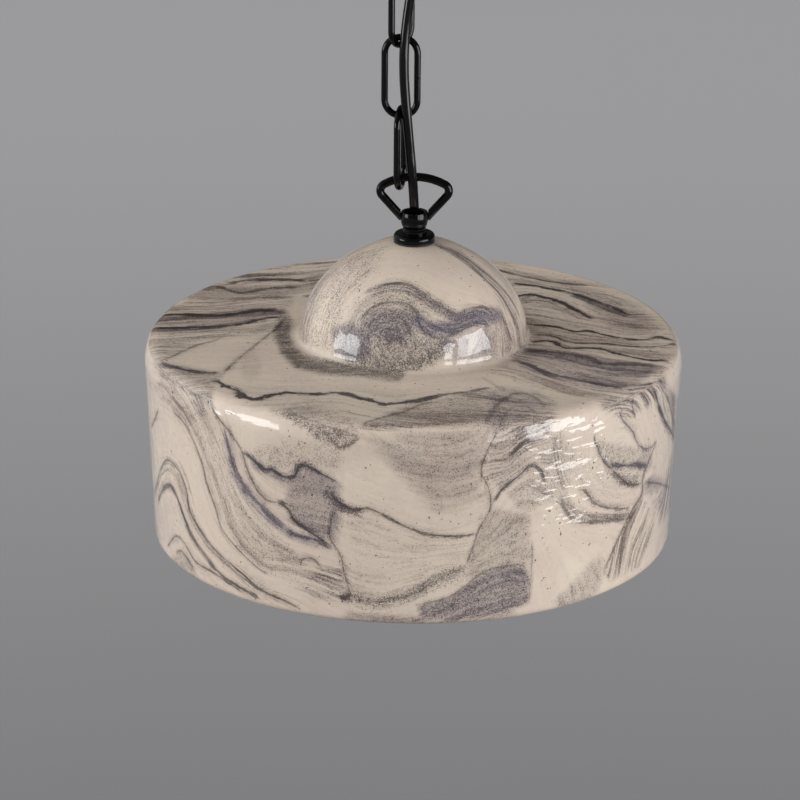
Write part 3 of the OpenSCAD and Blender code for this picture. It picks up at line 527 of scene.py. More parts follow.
# Veins read off the photograph, widths in mm; one without a level doesn't guide the grain
VEINS = [Vein(*row) for row in [
    ("top", 4.2, 0.8, 0.2, 10, [(225, 283), (255, 279), (293, 279), (307, 282)]),
    ("top", 3.0, 0.7, 0.1, 20, [(216, 285), (239, 292), (267, 288), (301, 286)]),
    ("top", 2.5, 0.5, 0.0, 42, [(182, 302), (211, 302), (242, 299), (268, 297), (296, 296)]),
    ("top", 3.0, 0.7, 0.1, 16, [(305, 281), (345, 276), (395, 270), (445, 266), (492, 267)]),
    ("top", 1.2, 0.5, 0.0, 30, [(310, 288), (350, 283), (400, 278), (450, 275), (495, 275)]),
    ("top", 2.4, 0.7, 0.0, 48, [(300, 296), (335, 292), (385, 287), (435, 284), (480, 285), (509, 283)]),
    ("top", 4.5, 1.0, 0.1, 84, [(155, 320), (171, 314), (197, 314), (222, 314), (255, 310), (280, 309)]),
    ("top", 3.4, 1.0, 0.2, 112, [(150, 328), (182, 327), (211, 326), (237, 324), (268, 317), (283, 317)]),
    ("top", 0.9, 0.35, 0.0, 138, [(148, 337), (194, 334), (229, 331), (265, 333)]),
    ("top", 0.8, 0.7, 0.0, None, [(157, 363), (172, 356), (195, 345), (216, 340), (222, 336)]),
    ("top", 3.5, 0.8, 0.3, 220, [(159, 363), (178, 368), (200, 372), (222, 372)]),
    ("top", 0.7, 0.75, 0.0, None, [(283, 319), (278, 326), (257, 343), (236, 360), (222, 374)]),
    ("any", 4.8, 1.0, 0.25, 280, [(214, 379), (229, 388), (238, 391), (246, 398), (256, 399), (268, 396),
     (287, 393), (319, 394), (340, 393), (369, 400), (385, 404), (400, 403), (420, 400), (444, 395)]),
    ("top", 7.0, 1.0, 0.3, None, [(234, 390), (240, 393), (248, 398), (258, 399), (266, 397)]),
    ("top", 0.7, 0.5, 0.0, 320, [(340, 409), (356, 413), (374, 416)]),
    ("top", 1.4, 0.55, 0.0, None, [(359, 427), (374, 419), (406, 410), (420, 404), (437, 401)]),
    ("top", 2.2, 0.8, 0.0, 22, [(491, 267), (515, 274), (532, 277), (550, 281), (576, 284), (591, 285)]),
    ("top", 2.8, 1.0, 0.0, 52, [(509, 282), (534, 285), (550, 288), (566, 291), (584, 296), (600, 302),
     (614, 307), (631, 315)]),
    ("top", 2.4, 0.7, 0.1, 62, [(567, 294), (582, 298), (600, 306), (617, 312), (629, 317)]),
    ("top", 3.5, 1.0, 0.0, 86, [(516, 301), (517, 296), (530, 294), (544, 297), (559, 301), (571, 307),
     (584, 314), (594, 319)]),
    ("top", 2.6, 1.0, 0.0, 128, [(523, 322), (531, 324), (554, 326), (574, 331), (588, 330), (607, 335),
     (627, 338), (647, 339), (658, 336), (675, 341)]),
    ("top", 1.8, 0.8, 0.0, 150, [(528, 334), (550, 335), (571, 342), (600, 343), (641, 346), (677, 344)]),
    ("top", 2.6, 1.0, 0.1, 172, [(523, 342), (547, 340), (556, 342), (564, 347), (595, 348), (614, 352),
     (641, 358), (670, 361)]),
    ("top", 5.0, 0.6, 0.5, 192, [(517, 349), (547, 351), (567, 353), (591, 357), (600, 363), (627, 363),
     (658, 365)]),
    ("top", 4.0, 0.6, 0.4, 222, [(511, 358), (532, 365), (547, 373), (567, 377), (590, 382), (614, 386),
     (630, 387)]),
    ("top", 0.7, 0.45, 0.0, 250, [(484, 369), (507, 370), (524, 375), (544, 384), (560, 390), (587, 396)]),
    ("top", 0.7, 0.35, 0.0, 262, [(480, 375), (507, 392)]),
    ("dome", 1.4, 0.5, 0.4, 40, [(374, 288), (387, 284), (403, 283), (413, 286), (425, 294), (438, 304),
     (456, 314), (465, 310), (483, 307), (497, 311)]),
    ("dome", 1.2, 0.55, 0.5, 14, [(358, 322), (371, 308), (387, 302), (409, 305), (417, 315), (420, 326),
     (428, 334), (444, 337), (459, 332), (476, 324), (492, 326)]),
    ("dome", 1.3, 0.75, 0.3, 92, [(432, 243), (454, 253), (470, 265), (486, 280), (498, 292), (509, 309),
     (519, 333)]),
    ("dome", 1.1, 0.6, 0.2, 110, [(446, 246), (466, 258), (484, 272), (500, 286), (512, 301), (521, 320)]),
    ("dome", 0.9, 0.6, 0.2, 80, [(500, 312), (507, 328), (514, 347)]),
    ("any", 2.4, 0.45, 0.6, None, [(486, 428), (491, 412), (503, 400), (518, 393), (534, 397), (546, 407)]),
    ("any", 1.6, 0.3, 0.4, None, [(499, 431), (504, 416), (514, 407), (527, 406), (536, 414)]),
    ("top", 3.0, 0.7, 0.3, None, [(420, 398), (446, 394), (468, 391), (492, 386)]),
    ("dome", 0.5, 0.0, 0.0, 62, [(372, 258), (350, 278), (332, 304), (322, 334), (320, 350)]),
    ("dome", 0.5, 0.0, 0.0, 82, [(346, 258), (322, 280), (306, 310), (299, 338)]),
    ("side", 0.8, 0.8, 0.0, None, [(211, 397), (212, 408), (221, 421), (233, 437), (242, 449)]),
    ("side", 0.9, 0.7, 0.0, None, [(159, 409), (151, 429)]),
    ("side", 1.0, 0.75, 0.1, 20, [(155, 493), (160, 472), (166, 460), (173, 463), (181, 475), (187, 493),
     (189, 510), (199, 528), (211, 545), (227, 561), (242, 574), (262, 591), (288, 602), (303, 611)]),
    ("side", 2.4, 0.8, 0.2, 11, [(158, 503), (163, 489), (170, 485), (176, 495), (184, 517), (193, 538),
     (207, 558), (221, 575), (239, 587), (262, 600)]),
    ("side", 0.9, 0.8, 0.0, 4, [(167, 547), (176, 536), (185, 544), (196, 562), (211, 571), (227, 582),
     (245, 594)]),
    ("side", 1.6, 0.6, 0.1, 0, [(175, 553), (181, 551), (189, 561), (196, 574)]),
    ("side", 0.9, 0.65, 0.0, 38, [(172, 411), (185, 424), (193, 441), (202, 463), (207, 484), (216, 509),
     (222, 530), (239, 550), (254, 565), (270, 576)]),
    ("side", 1.0, 0.4, 0.0, 44, [(227, 518), (233, 532), (245, 549), (262, 566)]),
    ("side", 4.0, 0.65, 0.8, 62, [(230, 452), (234, 466), (241, 481), (251, 496), (265, 510), (276, 521),
     (286, 530)]),
    ("side", 1.2, 0.85, 0.3, None, [(223, 424), (226, 438), (230, 452), (234, 468), (240, 479)]),
    ("side", 2.4, 0.85, 0.6, 62, [(284, 528), (296, 535), (319, 541), (334, 550)]),
    ("side", 0.8, 0.7, 0.1, 70, [(233, 437), (242, 452), (248, 472), (257, 490), (268, 501), (280, 502)]),
    ("side", 2.0, 0.95, 0.5, 84, [(242, 450), (251, 458), (265, 470), (271, 469), (282, 476), (294, 477),
     (300, 465), (309, 467), (323, 475), (339, 483)]),
    ("side", 1.3, 1.0, 0.0, None, [(281, 503), (287, 508), (296, 522), (316, 536), (332, 547)]),
    ("side", 1.2, 0.7, 0.1, None, [(296, 561), (308, 558), (316, 561), (323, 570)]),
    ("side", 1.3, 0.8, 0.1, 30, [(330, 492), (334, 498), (352, 510), (367, 508), (385, 516), (406, 527),
     (426, 534), (443, 536), (463, 536), (478, 533)]),
    ("side", 1.2, 0.5, 0.0, 80, [(320, 429), (329, 437), (339, 447), (352, 444), (362, 434)]),
    ("side", 0.7, 0.7, 0.0, None, [(334, 506), (331, 522), (330, 538), (340, 554), (344, 572), (349, 591),
     (346, 597)]),
    ("side", 1.4, 0.25, 0.1, 4, [(353, 598), (377, 602), (400, 598), (418, 592), (435, 578), (458, 571),
     (466, 565)]),
    ("side", 0.7, 0.7, 0.0, None, [(499, 411), (496, 433), (489, 447), (481, 472), (487, 484), (491, 500),
     (489, 512), (479, 529), (472, 549), (466, 566)]),
    ("side", 1.5, 0.85, 0.2, 20, [(492, 504), (505, 486), (519, 476), (531, 465), (540, 470), (546, 485)]),
    ("side", 0.8, 0.55, 0.0, 52, [(508, 464), (522, 443), (540, 440)]),
    ("side", 1.2, 0.5, 0.4, 4, [(418, 605), (449, 597), (478, 576), (492, 569), (521, 565), (527, 574)]),
    ("side", 0.6, 0.45, 0.0, None, [(532, 539), (532, 560), (529, 602)]),
    ("side", 2.0, 0.6, 0.2, 20, [(559, 500), (568, 515), (577, 523), (594, 522), (609, 521), (627, 519)]),
    ("side", 1.8, 0.7, 0.1, 36, [(576, 489), (585, 491), (591, 500), (600, 506), (615, 509), (631, 508)]),
    ("side", 2.8, 0.85, 0.7, 70, [(608, 465), (622, 466), (636, 465), (648, 466)]),
    ("side", 0.8, 0.75, 0.0, None, [(598, 432), (594, 438), (597, 446), (603, 460), (615, 473), (630, 485),
     (642, 483)]),
    ("side", 2.6, 1.0, 0.3, 24, [(648, 384), (655, 393), (659, 407), (665, 421), (672, 434), (676, 444)]),
    ("side", 1.0, 0.7, 0.2, None, [(658, 383), (668, 400), (673, 420), (677, 436)]),
    ("side", 0.8, 0.7, 0.9, None, [(622, 407), (621, 417), (627, 425), (634, 434), (637, 443), (645, 449),
     (653, 446), (657, 438)]),
    ("side", 0.8, 0.7, 0.3, None, [(602, 412), (610, 402), (620, 396), (629, 400), (634, 412)]),
    ("side", 0.8, 0.7, 0.2, None, [(641, 383), (635, 394), (632, 404), (636, 420)]),
    ("side", 0.7, 0.75, 0.0, None, [(658, 437), (652, 453), (643, 477), (642, 494), (634, 507), (622, 530),
     (610, 557), (604, 570)]),
    ("stripes", 0.7, 0.65, 0.0, 44, [(639, 504), (628, 524), (622, 545), (618, 575)]),
    ("stripes", 0.7, 0.6, 0.0, 20, [(648, 510), (642, 530), (633, 548), (629, 572)]),
    ("side", 0.9, 0.7, 0.1, 40, [(645, 482), (657, 483), (670, 488)]),
]]


def area(*points):
    """Distance into a polygon in the photograph, in pixels, below zero outside it."""
    ring = np.array(points, float)

    def measure(at):
        inside = np.zeros(len(at), bool)
        nearest = np.full(len(at), 1e9)
        for a, b in zip(ring, np.roll(ring, -1, axis=0)):
            crosses = (a[1] > at[:, 1]) != (b[1] > at[:, 1])
            rise = b[1] - a[1] if b[1] != a[1] else 1e-9
            inside ^= crosses & (at[:, 0] < a[0] + (at[:, 1] - a[1]) * (b[0] - a[0]) / rise)
            nearest = np.minimum(nearest, segment_distance(at, a, b)[0])
        return np.where(inside, nearest, -nearest)
    return measure


def spot(x, y, wide, high):
    """The same for an ellipse."""
    def measure(at):
        reach = np.hypot((at[:, 0] - x) / wide, (at[:, 1] - y) / high)
        return (1 - reach) * min(wide, high)
    return measure


def band(half, *points):
    """The same for a band along a line."""
    line = np.array(points, float)

    def measure(at):
        nearest = np.full(len(at), 1e9)
        for a, b in zip(line, line[1:]):
            nearest = np.minimum(nearest, segment_distance(at, a, b)[0])
        return half - nearest
    return measure


def segment_distance(at, a, b):
    """Distance of each point from a segment, and how far along the segment it comes nearest."""
    run = b - a
    t = np.clip((at - a) @ run / max(run @ run, 1e-9), 0, 1)
    return np.linalg.norm(at - (a + t[:, None] * run), axis=1), t


STRIPES = area((642, 497), (657, 513), (650, 540), (639, 567), (609, 582), (604, 570), (622, 530), (634, 507))

# Clouds of darker clay: face, shape, softness in pixels, then how grey, specked, violet and finely lined
CLOUDS = [
    ("top", area((150, 262), (345, 245), (345, 262), (300, 290), (283, 320), (265, 334), (200, 341),
     (157, 363), (140, 350)), 4, 0.12, 0.1, 0.0, 0.6),
    ("top", area((190, 300), (240, 284), (300, 276), (345, 262), (330, 250), (230, 262)),
     4, 0.2, 0.1, 0.1, 0.8),
    ("top", band(4, (152, 322), (200, 317), (255, 313), (282, 311)), 3, 0.5, 0.2, 0.1, 1.0),
    ("top", band(3, (150, 330), (211, 328), (268, 319)), 2, 0.4, 0.2, 0.1, 0.9),
    ("top", band(12, (290, 284), (400, 274), (505, 274)), 7, 0.15, 0.05, 0.0, 0.6),
    ("top", spot(251, 366, 11, 16), 5, 0.35, 0.0, 0.0, 0.0),
    ("top", band(8, (285, 322), (281, 334), (287, 349), (299, 361), (319, 366), (340, 368), (355, 368),
     (374, 371), (397, 373)), 4, 0.5, 0.8, 0.1, 0.3),
    ("dome", area((332, 328), (352, 320), (374, 334), (372, 358), (350, 362), (334, 356)),
     5, 0.9, 0.3, 0.6, 0.2),
    ("dome", area((440, 330), (492, 322), (496, 350), (470, 362), (438, 360)), 7, 0.6, 0.1, 0.6, 0.3),
    ("any", area((150, 362), (178, 366), (224, 374), (216, 385), (212, 402), (190, 398), (160, 378)),
     4, 0.45, 0.2, 0.15, 0.7),
    ("any", area((268, 410), (290, 408), (305, 416), (322, 421), (344, 430), (359, 436), (351, 446),
     (338, 450), (320, 443), (305, 431), (288, 420)), 4, 0.2, 0.75, 0.1, 0.0),
    ("any", area((280, 404), (325, 402), (362, 420), (356, 440), (320, 432)), 8, 0.25, 0.4, 0.1, 0.2),
    ("top", area((216, 380), (300, 386), (400, 390), (560, 392), (612, 392), (560, 420), (460, 432),
     (365, 436), (290, 424), (240, 408)), 8, 0.2, 0.06, 0.0, 0.15),
    ("any", spot(302, 412, 20, 7), 4, 0.55, 0.2, 0.2, 0.1),
    ("side", spot(282, 503, 4, 3), 1, 1.0, 1.0, 0.0, 0.0),
    ("side", band(5, (155, 492), (165, 467), (177, 468), (187, 495), (197, 525), (215, 552), (240, 573),
     (276, 597)), 4, 0.10, 0.1, 0.0, 1.0),
    ("top", area((359, 427), (374, 419), (406, 404), (440, 398), (470, 391), (500, 388), (540, 392),
     (560, 402), (545, 412), (500, 420), (450, 426), (400, 430), (365, 434)), 4, 0.5, 0.35, 0.1, 0.5),
    ("any", area((486, 392), (500, 386), (532, 391), (545, 404), (530, 416), (504, 434), (488, 430)),
     7, 0.6, 0.3, 0.45, 0.35),
    ("any", area((515, 395), (545, 398), (560, 406), (548, 440), (520, 470), (505, 480), (510, 440)),
     6, 0.35, 0.35, 0.2, 0.6),
    ("top", area((484, 262), (600, 286), (660, 320), (682, 345), (672, 366), (620, 400), (560, 396),
     (490, 372), (520, 350), (515, 300)), 5, 0.15, 0.05, 0.0, 0.6),
    ("top", area((505, 352), (547, 348), (600, 358), (662, 366), (640, 386), (600, 392), (560, 385),
     (520, 368)), 6, 0.5, 0.1, 0.5, 0.7),
    ("top", area((560, 283), (600, 292), (640, 308), (662, 330), (640, 336), (610, 328), (580, 300)),
     8, 0.55, 0.4, 0.1, 0.4),
    ("top", area((380, 425), (470, 395), (520, 405), (500, 430)), 8, 0.2, 0.3, 0.1, 0.3),
    ("dome", spot(391, 326, 34, 21), 11, 0.9, 0.5, 0.6, 0.3),
    ("dome", area((352, 352), (368, 330), (400, 336), (430, 336), (452, 338), (448, 352), (420, 364),
     (380, 368)), 7, 0.6, 0.6, 0.3, 0.2),
    ("dome", area((296, 345), (302, 300), (322, 276), (318, 310), (306, 345)), 5, 0.3, 0.2, 0.5, 0.3),
    ("dome", band(8, (352, 356), (366, 364), (390, 368), (412, 366), (430, 357), (446, 346)),
     5, 0.45, 0.8, 0.1, 0.0),
    ("dome", band(9, (418, 322), (432, 330), (450, 328), (470, 318), (495, 316)), 6, 0.75, 0.4, 0.9, 0.4),
    ("dome", band(6, (372, 292), (387, 287), (405, 287), (425, 298), (440, 308), (458, 318), (483, 311)),
     4, 0.4, 0.45, 0.35, 0.5),
    ("dome", area((344, 330), (352, 302), (372, 288), (410, 290), (430, 304), (440, 318), (420, 326),
     (420, 350), (360, 358)), 7, 0.2, 0.34, 0.1, 0.2),
    ("dome", area((296, 350), (298, 312), (318, 276), (356, 250), (388, 244), (372, 276), (346, 300),
     (338, 350)), 8, 0.12, 0.5, 0.0, 0.15),
    ("dome", area((428, 240), (460, 250), (492, 276), (512, 300), (524, 326), (528, 350), (516, 350),
     (509, 318), (490, 286), (462, 262)), 3, 0.32, 0.1, 0.35, 0.7),
    ("dome", area((498, 312), (510, 320), (520, 350), (484, 364), (478, 344), (492, 330)),
     5, 0.3, 0.35, 0.25, 0.4),
    ("side", area((172, 411), (214, 410), (233, 437), (226, 450), (240, 485), (264, 515), (298, 556),
     (322, 580), (300, 590), (264, 572), (236, 545), (216, 505), (206, 470), (194, 440)),
     4, 0.15, 0.22, 0.0, 0.36),
    ("side", area((160, 380), (215, 392), (212, 414), (190, 428), (165, 408), (150, 385)),
     6, 0.28, 0.2, 0.0, 0.6),
    ("side", area((163, 500), (172, 490), (182, 505), (190, 532), (178, 546), (164, 540), (158, 520)),
     6, 0.25, 0.0, 0.35, 0.0),
    ("side", area((166, 560), (180, 553), (192, 566), (202, 584), (180, 580)), 3, 0.55, 0.1, 0.0, 0.2),
    ("side", area((296, 474), (312, 468), (338, 484), (345, 505), (337, 542), (318, 540), (296, 524),
     (284, 502), (288, 486)), 6, 0.72, 0.18, 0.45, 0.2),
    ("side", band(4, (255, 466), (271, 473), (284, 481), (297, 479), (304, 470), (320, 477), (340, 487)),
     4, 0.6, 0.2, 0.6, 0.1),
    ("side", band(5, (227, 440), (234, 474), (249, 497), (268, 516), (290, 534), (316, 543)),
     5, 0.65, 0.15, 0.9, 0.5),
    ("any", area((598, 400), (640, 384), (662, 372), (670, 392), (652, 404), (630, 418), (606, 414)),
     5, 0.3, 0.22, 0.35, 1.0),
    ("side", area((641, 478), (655, 474), (673, 480), (675, 500), (668, 515), (656, 512), (645, 495)),
     4, 0.35, 0.1, 0.5, 0.4),
    ("side", area((346, 512), (400, 524), (478, 538), (470, 560), (440, 584), (352, 592)),
     8, 0.16, 0.12, 0.0, 0.25),
    ("side", area((530, 440), (560, 430), (576, 452), (572, 486), (552, 500), (540, 470)),
     8, 0.35, 0.3, 0.2, 0.4),
    ("side", area((312, 570), (345, 565), (348, 600), (312, 600), (300, 586)), 6, 0.2, 0.1, 0.2, 0.9),
    ("side", area((240, 452), (300, 440), (345, 445), (338, 470), (296, 470), (262, 468)),
     7, 0.08, 0.35, 0.0, 0.2),
    ("side", area((362, 436), (420, 430), (494, 426), (490, 446), (480, 472), (482, 496), (455, 509),
     (434, 512), (410, 486), (384, 456)), 12, 0.58, 0.14, 0.05, 0.2),
    ("side", band(8, (356, 598), (377, 603), (400, 599), (418, 592), (437, 580), (460, 572)),
     6, 0.3, 0.6, 0.1, 0.3),
    ("side", spot(347, 597, 7, 5), 3, 1.0, 0.8, 0.1, 0.0),
    ("side", band(6, (328, 494), (340, 506), (356, 512)), 4, 0.35, 0.8, 0.1, 0.0),
    ("side", area((499, 411), (522, 404), (546, 420), (540, 442), (516, 470), (500, 492), (483, 474),
     (490, 446)), 5, 0.45, 0.25, 0.0, 0.4),
    ("side", area((505, 492), (531, 468), (548, 482), (551, 502), (520, 512)), 5, 0.4, 0.3, 0.2, 0.5),
    ("side", area((491, 507), (530, 515), (533, 560), (520, 570), (492, 569), (470, 585), (466, 566),
     (479, 529)), 5, 0.6, 0.25, 0.0, 0.2),
    # The violet patch at the foot is the clay's own, darkened further with painted shade; the band below it
    # along the foot is painted shade where the wall turns under
    ("side", area((418, 606), (449, 597), (478, 577), (492, 569), (521, 566), (531, 575), (529, 603),
     (499, 616), (449, 622), (420, 618)), 4, 0.95, 0.2, 0.5, 0.3),
    ("side", band(7, (350, 618), (400, 622), (450, 622), (510, 616)), 5, 0.5, 0.2, 0.2, 0.3),
    ("side", area((597, 440), (650, 450), (655, 468), (640, 474), (606, 472)), 5, 0.4, 0.35, 0.3, 0.2),
    ("side", area((603, 472), (641, 474), (637, 488), (622, 488)), 3, 0.15, 0.7, 0.0, 0.2),
    ("side", area((655, 389), (664, 384), (682, 400), (682, 470), (676, 500), (660, 525), (657, 498),
     (668, 470), (674, 446)), 4, 0.35, 0.2, 0.2, 0.8),
    ("side", STRIPES, 2, 0.08, 0.0, 0.0, 0.8),
    ("side", area((578, 576), (600, 553), (607, 572), (592, 600), (560, 611), (553, 602)),
     5, 0.5, 0.25, 0.15, 0.2),
    ("side", band(5, (562, 498), (574, 514), (594, 519), (628, 516)), 3, 0.5, 0.4, 0.15, 0.4),
    ("side", area((560, 455), (575, 440), (600, 470), (630, 500), (600, 500), (575, 488)),
     7, 0.12, 0.2, 0.0, 0.1),
]

# Slabs of the side whose grain runs its own way, as polygons in the photograph
SLABS = {
    "stripes": STRIPES,
    "left": area((100, 330), (215, 385), (262, 415), (359, 427), (362, 434), (345, 465), (334, 506),
        (330, 538), (344, 572), (349, 600), (346, 660), (100, 660)),
    "centre": area((359, 427), (499, 405), (496, 433), (489, 447), (481, 472), (491, 500), (479, 529),
        (466, 566), (440, 600), (400, 660), (346, 660), (349, 600), (344, 572), (330, 538), (334, 506),
        (345, 465), (362, 434)),
    "middle": area((499, 405), (560, 400), (552, 450), (552, 500), (535, 540), (531, 660), (400, 660),
        (440, 600), (466, 566), (479, 529), (491, 500), (481, 472), (489, 447), (496, 433)),
}

# Places where the glaze lies in ripples: shape, softness in pixels and how strongly
RIPPLES = [
    (area((516, 400), (560, 398), (600, 408), (626, 430), (622, 470), (604, 500), (588, 532), (540, 532),
     (524, 470)), 10, 1.0),
    (band(7, (213, 408), (232, 416), (262, 424), (296, 432)), 6, 0.35),
    (spot(231, 452, 8, 22), 4, 0.6),
    (spot(262, 524, 16, 5), 3, 0.35),
]

# Places where the glaze is broken and hardly shines, in the same way
MATT = [
    (band(7, (482, 434), (500, 434), (516, 431)), 4, 1.0),
]

# Veins in mm: how far those of a channel keep apart, where each ends, and how its stain fades and ends
VEIN_GAP = 11.5
VEIN_REACH = 4.5
VEIN_FADE = 3.5
VEIN_SHADE = 16.0
END_FADE, STAIN_END_FADE = 5, 12
FAR_AWAY = 50

# How strongly a vein stains and lines the clay round it, and a joint of the side greys and specks it
VEIN_STAIN, VEIN_LINED = 0.40, 0.65
JOINT_WASH, JOINT_SPECK, JOINT_FADE = 0.6, 0.7, 2.5

# Steps along a stroke in pixels, and the leap in mm at which it ends
PIXEL_STEP = 5.0
LINE_BREAK = 30

# Limits of the clay's faces, the grain where no vein guides it, and how finely the flat top's is counted
DOME_FOOT = DOME_R + 5
TOP_TILT = 0.55
PLAIN_GRAIN = (0.15, 0.1, 0.9)
TOP_GRAIN = 0.5


def to_photo(places):
    """Where points in mm from the flat top's middle stand in the photograph, in pixels."""
    ray = places * MM + np.array((0, 0, DRUM_TOP)) - np.array(EYE)
    depth = ray @ np.array(EYE_AHEAD)
    return np.stack([PHOTO / 2 + FOCAL * (ray @ np.array(EYE_RIGHT)) / depth,
                     PHOTO / 2 - FOCAL * (ray @ np.array(EYE_UP)) / depth], axis=1)


def face_at(place, normal):
    """The name of the clay's face at a point."""
    if place.z > 1 and math.hypot(place.x, place.y) < DOME_FOOT:
        return "dome"
    return "top" if normal.z > TOP_TILT else "side"


def onto_clay(tree, face, pixels):
    """The points in mm at which a smooth line of pixels meets the named face, seen through the dome."""
    wanted = {"any": ("dome", "top", "side"), "stripes": ("side",)}.get(face, (face,))
    out = []
    start = (Vector(EYE) - Vector((0, 0, DRUM_TOP))) / MM
    for p in smooth_route([(x, y, 0) for x, y in pixels], PIXEL_STEP):
        ray = EYE_AHEAD * FOCAL + EYE_RIGHT * (p.x - PHOTO / 2) - EYE_UP * (p.y - PHOTO / 2)
        hit, normal = tree.ray_cast(start, ray.normalized())[:2]
        level = start - ray * (start.z / ray.z)
        if face == "top" and DOME_R < math.hypot(level.x, level.y) < SHADE_R - EDGE_R:
            hit, normal = level, Vector((0, 0, 1))
        if hit and face_at(hit, normal) in wanted and (not out or (hit - out[-1]).length < LINE_BREAK):
            out.append(hit)
    return np.array(out)


def closest(line, at, normals):
    """Distance of each point from a line, signed by its side, and how far along the line it is in mm."""
    steps = np.linalg.norm(np.diff(line, axis=0), axis=1)
    before = np.concatenate([[0], np.cumsum(steps)])
    best = np.full(len(at), 1e9)
    side = np.ones(len(at))
    along = np.zeros(len(at))
    for k, (a, b) in enumerate(zip(line, line[1:])):
        gap, t = segment_distance(at, a, b)
        nearer = gap < best
        across = np.cross(normals[nearer], b - a)
        foot = a + t[nearer, None] * (b - a)
        side[nearer] = np.where(np.einsum("ij,ij->i", across, at[nearer] - foot) >= 0, 1, -1)
        along[nearer] = before[k] + t[nearer] * steps[k]
        best[nearer] = gap[nearer]
    return best * side, along, before[-1]


def smooth_step(value, low, high):
    t = np.clip((value - low) / (high - low), 0, 1)
    return t * t * (3 - 2 * t)


def grain_field(points, levels, at):
    """A smooth field that has the given levels at the points, worked out at other places."""
    def kernel(p, q):
        return -np.linalg.norm(p[:, None, :] - q[None, :, :], axis=2)

    count = len(points)
    plane = np.hstack([points, np.ones((count, 1))])
    system = np.zeros((count + 4, count + 4))
    system[:count, :count] = kernel(points, points) + 3.0 * np.eye(count)
    system[:count, count:] = plane
    system[count:, :count] = plane.T
    system[count:, count:] = -1e-6 * np.eye(4)
    answer = np.linalg.solve(system, np.concatenate([levels, np.zeros(4)]))
    return kernel(at, points) @ answer[:count] + np.hstack([at, np.ones((len(at), 1))]) @ answer[count:]


def spread_over(places, pixels, front):
    """How far each vertex of the front lies within the given places, from 0 to 1."""
    out = np.zeros(len(pixels))
    for shape, soft, amount in places:
        out[front] = np.maximum(out[front], smooth_step(shape(pixels[front]), -soft, soft) * amount)
    return out


def slab_of(pixels):
    """The name of the side's slab at each pixel."""
    names = np.full(len(pixels), "right", dtype=object)
    for name in reversed(SLABS):
        names[SLABS[name](pixels) > 0] = name
    return names


class Clay:
    """The clay's vertices in mm from the flat top's middle, each where the marbling is read for it."""

    def __init__(self, mesh):
        count = len(mesh.vertices)
        at = np.empty(count * 3)
        normals = np.empty(count * 3)
        outer = np.empty(count)
        mesh.vertices.foreach_get("co", at)
        mesh.vertices.foreach_get("normal", normals)
        mesh.attributes["outer"].data.foreach_get("value", outer)
        at = at.reshape(count, 3)
        normals = normals.reshape(count, 3)

        # The inner face carries the outer one's pattern
        inside = outer < 0.5
        at[inside] -= normals[inside] * SHADE_WALL
        normals[inside] *= -1
        reach = np.hypot(at[:, 0], at[:, 1])
        dome = (reach < DOME_FOOT) & (at[:, 2] > 1)
        top = ~dome & (normals[:, 2] > TOP_TILT)
        side = ~dome & ~top

        # The back of the side is the front turned half round, joined along an uneven seam
        seam = at[:, 1] - 5 * np.sin(at[:, 2] / 13) - 2 * np.sin(at[:, 2] / 4.7 + 1)
        back = side & (seam > 0)
        at[back, :2] *= -1
        normals[back, :2] *= -1

        self.count = count
        self.at = at
        self.normals = normals
        self.inside = inside
        self.reach = reach
        self.joint = side * np.exp(-np.abs(seam) / JOINT_FADE)
        self.faces = {"dome": dome, "top": top, "side": side, "stripes": side, "any": np.ones(count, bool)}
        self.front = np.flatnonzero(at[:, 1] < 0)
        self.pixels = to_photo(at)


def write(mesh, name, values):
    """Keeps one number, or three, at each vertex of the mesh."""
    kind, field = ("FLOAT", "value") if values.ndim == 1 else ("FLOAT_VECTOR", "vector")
    mesh.attributes.new(name, kind, "POINT").data.foreach_set(field, values.ravel())


def vein_channels(lines):
    """Shares the veins out into channels, so that those of a channel keep apart."""
    channels = []
    for i, line in enumerate(lines):
        if VEINS[i].strength == 0:
            continue
        for members in channels:
            apart = min(np.linalg.norm(line[:, None] - lines[j][None], axis=2).min()
                        - (VEINS[i].width + VEINS[j].width) / 2 for j in members)
            if apart > VEIN_GAP:
                members.append(i)
                break
        else:
            channels.append([i])
    return channels


def write_veins(mesh, clay, lines, clouds):
    """Writes how far each channel's nearest vein is and what it is like, and stains the clay near it."""
    channels = vein_channels(lines)
    for c, members in enumerate(channels):
        data = np.zeros((clay.count, 3))
        data[:, 0] = FAR_AWAY
        tint = np.zeros(clay.count)
        for i in members:
            vein = VEINS[i]
            low = lines[i].min(axis=0) - VEIN_SHADE
            high = lines[i].max(axis=0) + VEIN_SHADE
            near = np.flatnonzero(((clay.at > low) & (clay.at < high)).all(axis=1) & clay.faces[vein.face])
            distance, along, length = closest(lines[i], clay.at[near], clay.normals[near])

            stain = vein.strength * np.exp(-np.abs(distance) / VEIN_FADE)
            stain *= smooth_step(along, 0, STAIN_END_FADE) * smooth_step(length - along, 0, STAIN_END_FADE)
            clouds[near, 0] = np.maximum(clouds[near, 0], VEIN_STAIN * stain)
            clouds[near, 3] = np.maximum(clouds[near, 3], VEIN_LINED * stain)

            taken = np.abs(distance) < np.abs(data[near, 0])
            near, distance, along = near[taken], distance[taken], along[taken]
            ends = smooth_step(along, 0, END_FADE) * smooth_step(length - along, 0, END_FADE)
            edge = np.abs(distance) - vein.width / 2
            data[near, 0] = distance
            data[near, 1] = vein.strength * ends * (1 - smooth_step(edge, VEIN_REACH - 2, VEIN_REACH))
            data[near, 2] = vein.width
            tint[near] = vein.violet
        write(mesh, "vein_%d" % c, data)
        write(mesh, "tint_%d" % c, tint)
    return len(channels)


